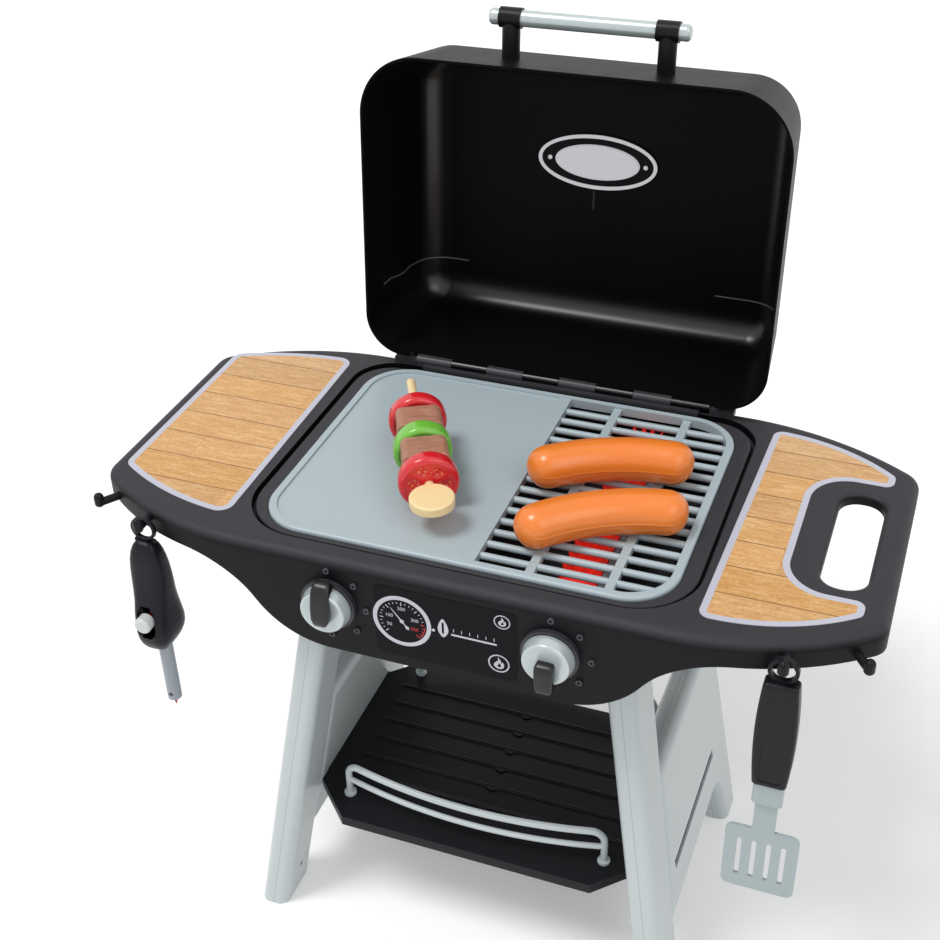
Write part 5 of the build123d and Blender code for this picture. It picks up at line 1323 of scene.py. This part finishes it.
class GrillLighter(bpy.types.Operator):
    """Builds the play lighter's swelling handle, and finishes its tube, button and red flame rod."""
    bl_idname = "grill.lighter"
    bl_label = "Lighter"

    # Height, front, back and half width of the handle's rings
    rings = ((-12.0, -2.0, 1.0, 3.0), (-12.5, -4.6, 3.5, 6.6), (-14.6, -7.6, 6.0, 9.8),
             (-18.0, -9.8, 8.0, 12.2), (-24.0, -11.6, 9.6, 14.8), (-32.0, -13.0, 11.0, 16.6),
             (-42.0, -14.0, 12.6, 17.7),
             (-54.0, -15.0, 14.2, 18.0), (-66.0, -16.8, 16.0, 17.6), (-78.0, -19.6, 18.0, 16.8),
             (-90.0, -23.6, 20.6, 16.6), (-102.0, -25.6, 23.2, 17.0), (-113.0, -26.0, 25.4, 17.2),
             (-121.0, -25.0, 26.0, 16.6), (-127.0, -23.0, 24.6, 15.4), (-132.0, -20.0, 21.2, 13.4),
             (-136.0, -16.0, 16.4, 10.8), (-138.2, -11.0, 11.0, 8.0), (-138.8, -6.0, 6.0, 5.0))

    def execute(self, context):
        shell = moulded("Soft black handle plastic", tint(21, 21, 28), 0.34, grain=0.2, cloud=0.06,
                        specular=0.2, shade=handle_seam)
        bm = bmesh.new()
        self.handle(bm)
        hanging_eye(bm, -1)
        shells = ["igniter_shell_left", "igniter_shell_right"]
        settle("lighter_handle", bm, [shell], "igniter", shells, sharp=60.0)
        dress(["igniter_tube"], moulded("Grey tube plastic", colours().tube, 0.3, grain=0.1, cloud=0.04))
        button = moulded("Silver button plastic", tint(208, 212, 210), 0.2, grain=0.03, cloud=0.03, coat=0.3)
        dress(["igniter_button"], button)
        dress(["igniter_slider"], moulded("Red rod plastic", tint(190, 52, 54), 0.35, grain=0.08, cloud=0.05))
        return {"FINISHED"}

    def handle(self, bm):
        """The handle's skin, with a long pocket in front and a slot in the pocket for the button's neck."""
        heights = [-12.6, -13.0, -13.6, -14.6, -16.0]
        heights += [-18.0 - 2.0 * k for k in range(31)]
        heights += [-79.0 - 1.0 * k for k in range(38)]
        heights += [-118.0 - 2.0 * k for k in range(10)]
        heights += [-137.0, -137.6, -138.2, -138.6, -138.8]
        turns = once_round(112)
        rows = []
        for z in heights:
            front, back, half = self.ring_at(z)
            middle, deep = (front + back) / 2, (back - front) / 2
            row = []
            for t in turns:
                c, w = math.cos(t), math.sin(t)
                x = half * math.copysign(abs(c) ** 0.55, c)
                y = middle + deep * math.copysign(abs(w) ** 0.6, w)
                if w < 0:
                    y = self.pocket(x, y, z)
                row.append(tool_spot(-1, x, y, z))
            rows.append(row)
        loft(bm, rows)
        slot = []
        for face in bm.faces:
            centre = face.calc_center_median() - tool_spot(-1, 0, 0, 0)
            x, y, z = (v / MM for v in centre)
            if y < -10 and abs(x) < 4.4 and -115.5 < z < -80.0:
                slot.append(face)
        bmesh.ops.delete(bm, geom=slot, context="FACES")

    def ring_at(self, z):
        """The front, back and half width at a height, eased between the rings."""
        for low, high in zip(self.rings, self.rings[1:]):
            if high[0] <= z <= low[0]:
                share = (low[0] - z) / (low[0] - high[0])
                return [a + (b - a) * share for a, b in zip(low[1:], high[1:])]
        return self.rings[-1][1:]

    def pocket(self, x, y, z):
        """Sinks the front inside an upright oval."""
        middle, half_long, half_wide = -97.8, 17.2, 9.6
        run = max(0.0, abs(z - middle) - (half_long - half_wide))
        away = half_wide - math.hypot(x, run)
        share = max(0.0, min(1.0, away / 1.2))
        share = share * share * (3 - 2 * share)
        return y + max(0.0, -18.2 - y) * share


class GrillSpatula(bpy.types.Operator):
    """Finishes the spatula: black barrel handle and light grey blade."""
    bl_idname = "grill.spatula"
    bl_label = "Spatula"

    def execute(self, context):
        black = moulded("Black spatula plastic", tint(23, 23, 28), 0.36, grain=0.12, cloud=0.08, specular=0.2)
        grey = moulded("Grey blade plastic", tint(168, 180, 182), 0.32, grain=0.08, cloud=0.04)
        dress(["spatula_handle"], black)
        dress(["spatula_blade"], grey)
        return {"FINISHED"}


def seen_rays(net):
    """1 for rays from the camera, a reflection or clear material, which all show the background."""
    path = net.add("ShaderNodeLightPath").outputs
    direct = net.calc("MAXIMUM", path["Is Camera Ray"], path["Is Glossy Ray"])
    return net.calc("MAXIMUM", direct, path["Is Transmission Ray"])


class GrillStage(bpy.types.Operator):
    """Sets up the pale floor, the soft lamps and the camera."""
    bl_idname = "grill.stage"
    bl_label = "Studio"

    def execute(self, context):
        scene = context.scene
        studio = scene.grill_studio
        scene.view_settings.view_transform = "Standard"
        self.floor(studio)
        self.lamps(scene, studio)
        self.camera(scene, studio)
        return {"FINISHED"}

    def floor(self, studio):
        """A wide pale floor under the feet."""
        bm = bmesh.new()
        reach = 30.0
        rows = [[Vector((x, y, -0.0004)) for x in (-reach, 0.0, reach)] for y in (-reach, 0.0, reach)]
        loft(bm, rows, closed=False)
        mesh = bpy.data.meshes.new("studio_floor")
        bm.to_mesh(mesh)
        bm.free()
        material, net, shader = new_material("Studio floor paper")
        paper = net.noise(net.spot(), 3.0, 4.0)
        darker = tuple(part * 0.995 for part in studio.floor)
        base = net.blend(net.span(paper, 0.3, 0.7), tuple(studio.floor), darker)
        net.feed(shader.inputs["Base Color"], base)
        shader.inputs["Roughness"].default_value = 0.9
        shader.inputs["Specular IOR Level"].default_value = 0.0
        net.feed(shader.inputs["Emission Color"], net.blend(seen_rays(net), (0.0, 0.0, 0.0), (1.0, 1.0, 1.0)))
        shader.inputs["Emission Strength"].default_value = 0.2
        mesh.materials.append(material)
        floor = bpy.data.objects.new("studio_floor", mesh)
        bpy.context.scene.collection.objects.link(floor)

    def lamps(self, scene, studio):
        """An even pale room, a soft key lamp from the upper left and a weak fill lamp from the right."""
        world = bpy.data.worlds.new("Studio room")
        scene.world = world
        world.use_nodes = True
        net = Net(world.node_tree)
        back = world.node_tree.nodes["Background"]
        net.feed(back.inputs["Color"], (1.0, 1.0, 1.0))
        strength = net.plus(studio.sky, net.times(seen_rays(net), 1.0 - studio.sky))
        net.feed(back.inputs["Strength"], strength)
        for name, power, place_at, spread in (("Key lamp", studio.key, Vector((-0.75, -0.55, 1.9)), 22.0),
                                              ("Fill lamp", studio.fill, Vector((1.6, -0.9, 1.6)), 40.0)):
            lamp = bpy.data.lights.new(name, "SUN")
            lamp.energy = power
            lamp.angle = math.radians(spread)
            holder = bpy.data.objects.new(name, lamp)
            holder.rotation_mode = "QUATERNION"
            holder.rotation_quaternion = (-place_at).to_track_quat("-Z", "Y")
            holder.location = place_at
            scene.collection.objects.link(holder)

    def camera(self, scene, studio):
        """The camera at the photograph's place and angle."""
        azimuth, elevation, roll = (math.radians(a) for a in CAMERA_TURN)
        back = Vector((math.sin(azimuth) * math.cos(elevation), -math.cos(azimuth) * math.cos(elevation),
                       math.sin(elevation)))
        right = Vector((math.cos(azimuth), math.sin(azimuth), 0.0))
        up = back.cross(right)
        side = right * math.cos(roll) + up * math.sin(roll)
        rise = up * math.cos(roll) - right * math.sin(roll)
        data = bpy.data.cameras.new("Photo camera")
        data.sensor_width = 36.0
        data.lens = studio.lens
        data.clip_start, data.clip_end = 0.05, 100.0
        camera = bpy.data.objects.new("Photo camera", data)
        camera.matrix_world = Matrix.Translation(place(*CAMERA_PLACE)) @ Matrix(
            (side, rise, back)).transposed().to_4x4()
        scene.collection.objects.link(camera)
        scene.camera = camera


class GrillPanel(bpy.types.Panel):
    """Lists the grill's pieces with their colours and sizes."""
    bl_idname = "GRILL_PT_parts"
    bl_label = "Toy Grill"
    bl_space_type = "VIEW_3D"
    bl_region_type = "UI"
    bl_category = "Toy Grill"

    def draw(self, context):
        layout = self.layout
        for operator in OPERATORS:
            layout.operator(operator.bl_idname)
        for title, group in (("Colours", context.scene.grill_colours), ("Sizes", context.scene.grill_sizes),
                             ("Studio", context.scene.grill_studio)):
            box = layout.box()
            box.label(text=title)
            for name in group.__annotations__:
                box.prop(group, name)


OPERATORS = (GrillWorktop, GrillStickers, GrillControlPanel, GrillFirebox, GrillPlate, GrillKnobs,
             GrillRoller, GrillHooks, GrillLid, GrillBadge, GrillFrames, GrillFasteners, GrillShelf,
             GrillSausages, GrillSkewer, GrillLighter, GrillSpatula, GrillStage)
GROUPS = {"grill_colours": GrillColours, "grill_sizes": GrillSizes, "grill_studio": GrillStudio}


def register():
    """Registers the settings, the operators and the panel."""
    for name, group in GROUPS.items():
        bpy.utils.register_class(group)
        setattr(bpy.types.Scene, name, bpy.props.PointerProperty(type=group))
    for operator in OPERATORS:
        bpy.utils.register_class(operator)
    bpy.utils.register_class(GrillPanel)


def unregister():
    """Takes them away again."""
    bpy.utils.unregister_class(GrillPanel)
    for operator in reversed(OPERATORS):
        bpy.utils.unregister_class(operator)
    for name, group in GROUPS.items():
        delattr(bpy.types.Scene, name)
        bpy.utils.unregister_class(group)


def main():
    """Builds every piece in order."""
    register()
    for operator in OPERATORS:
        group, name = operator.bl_idname.split(".")
        getattr(getattr(bpy.ops, group), name)()


if __name__ == "__main__":
    main()
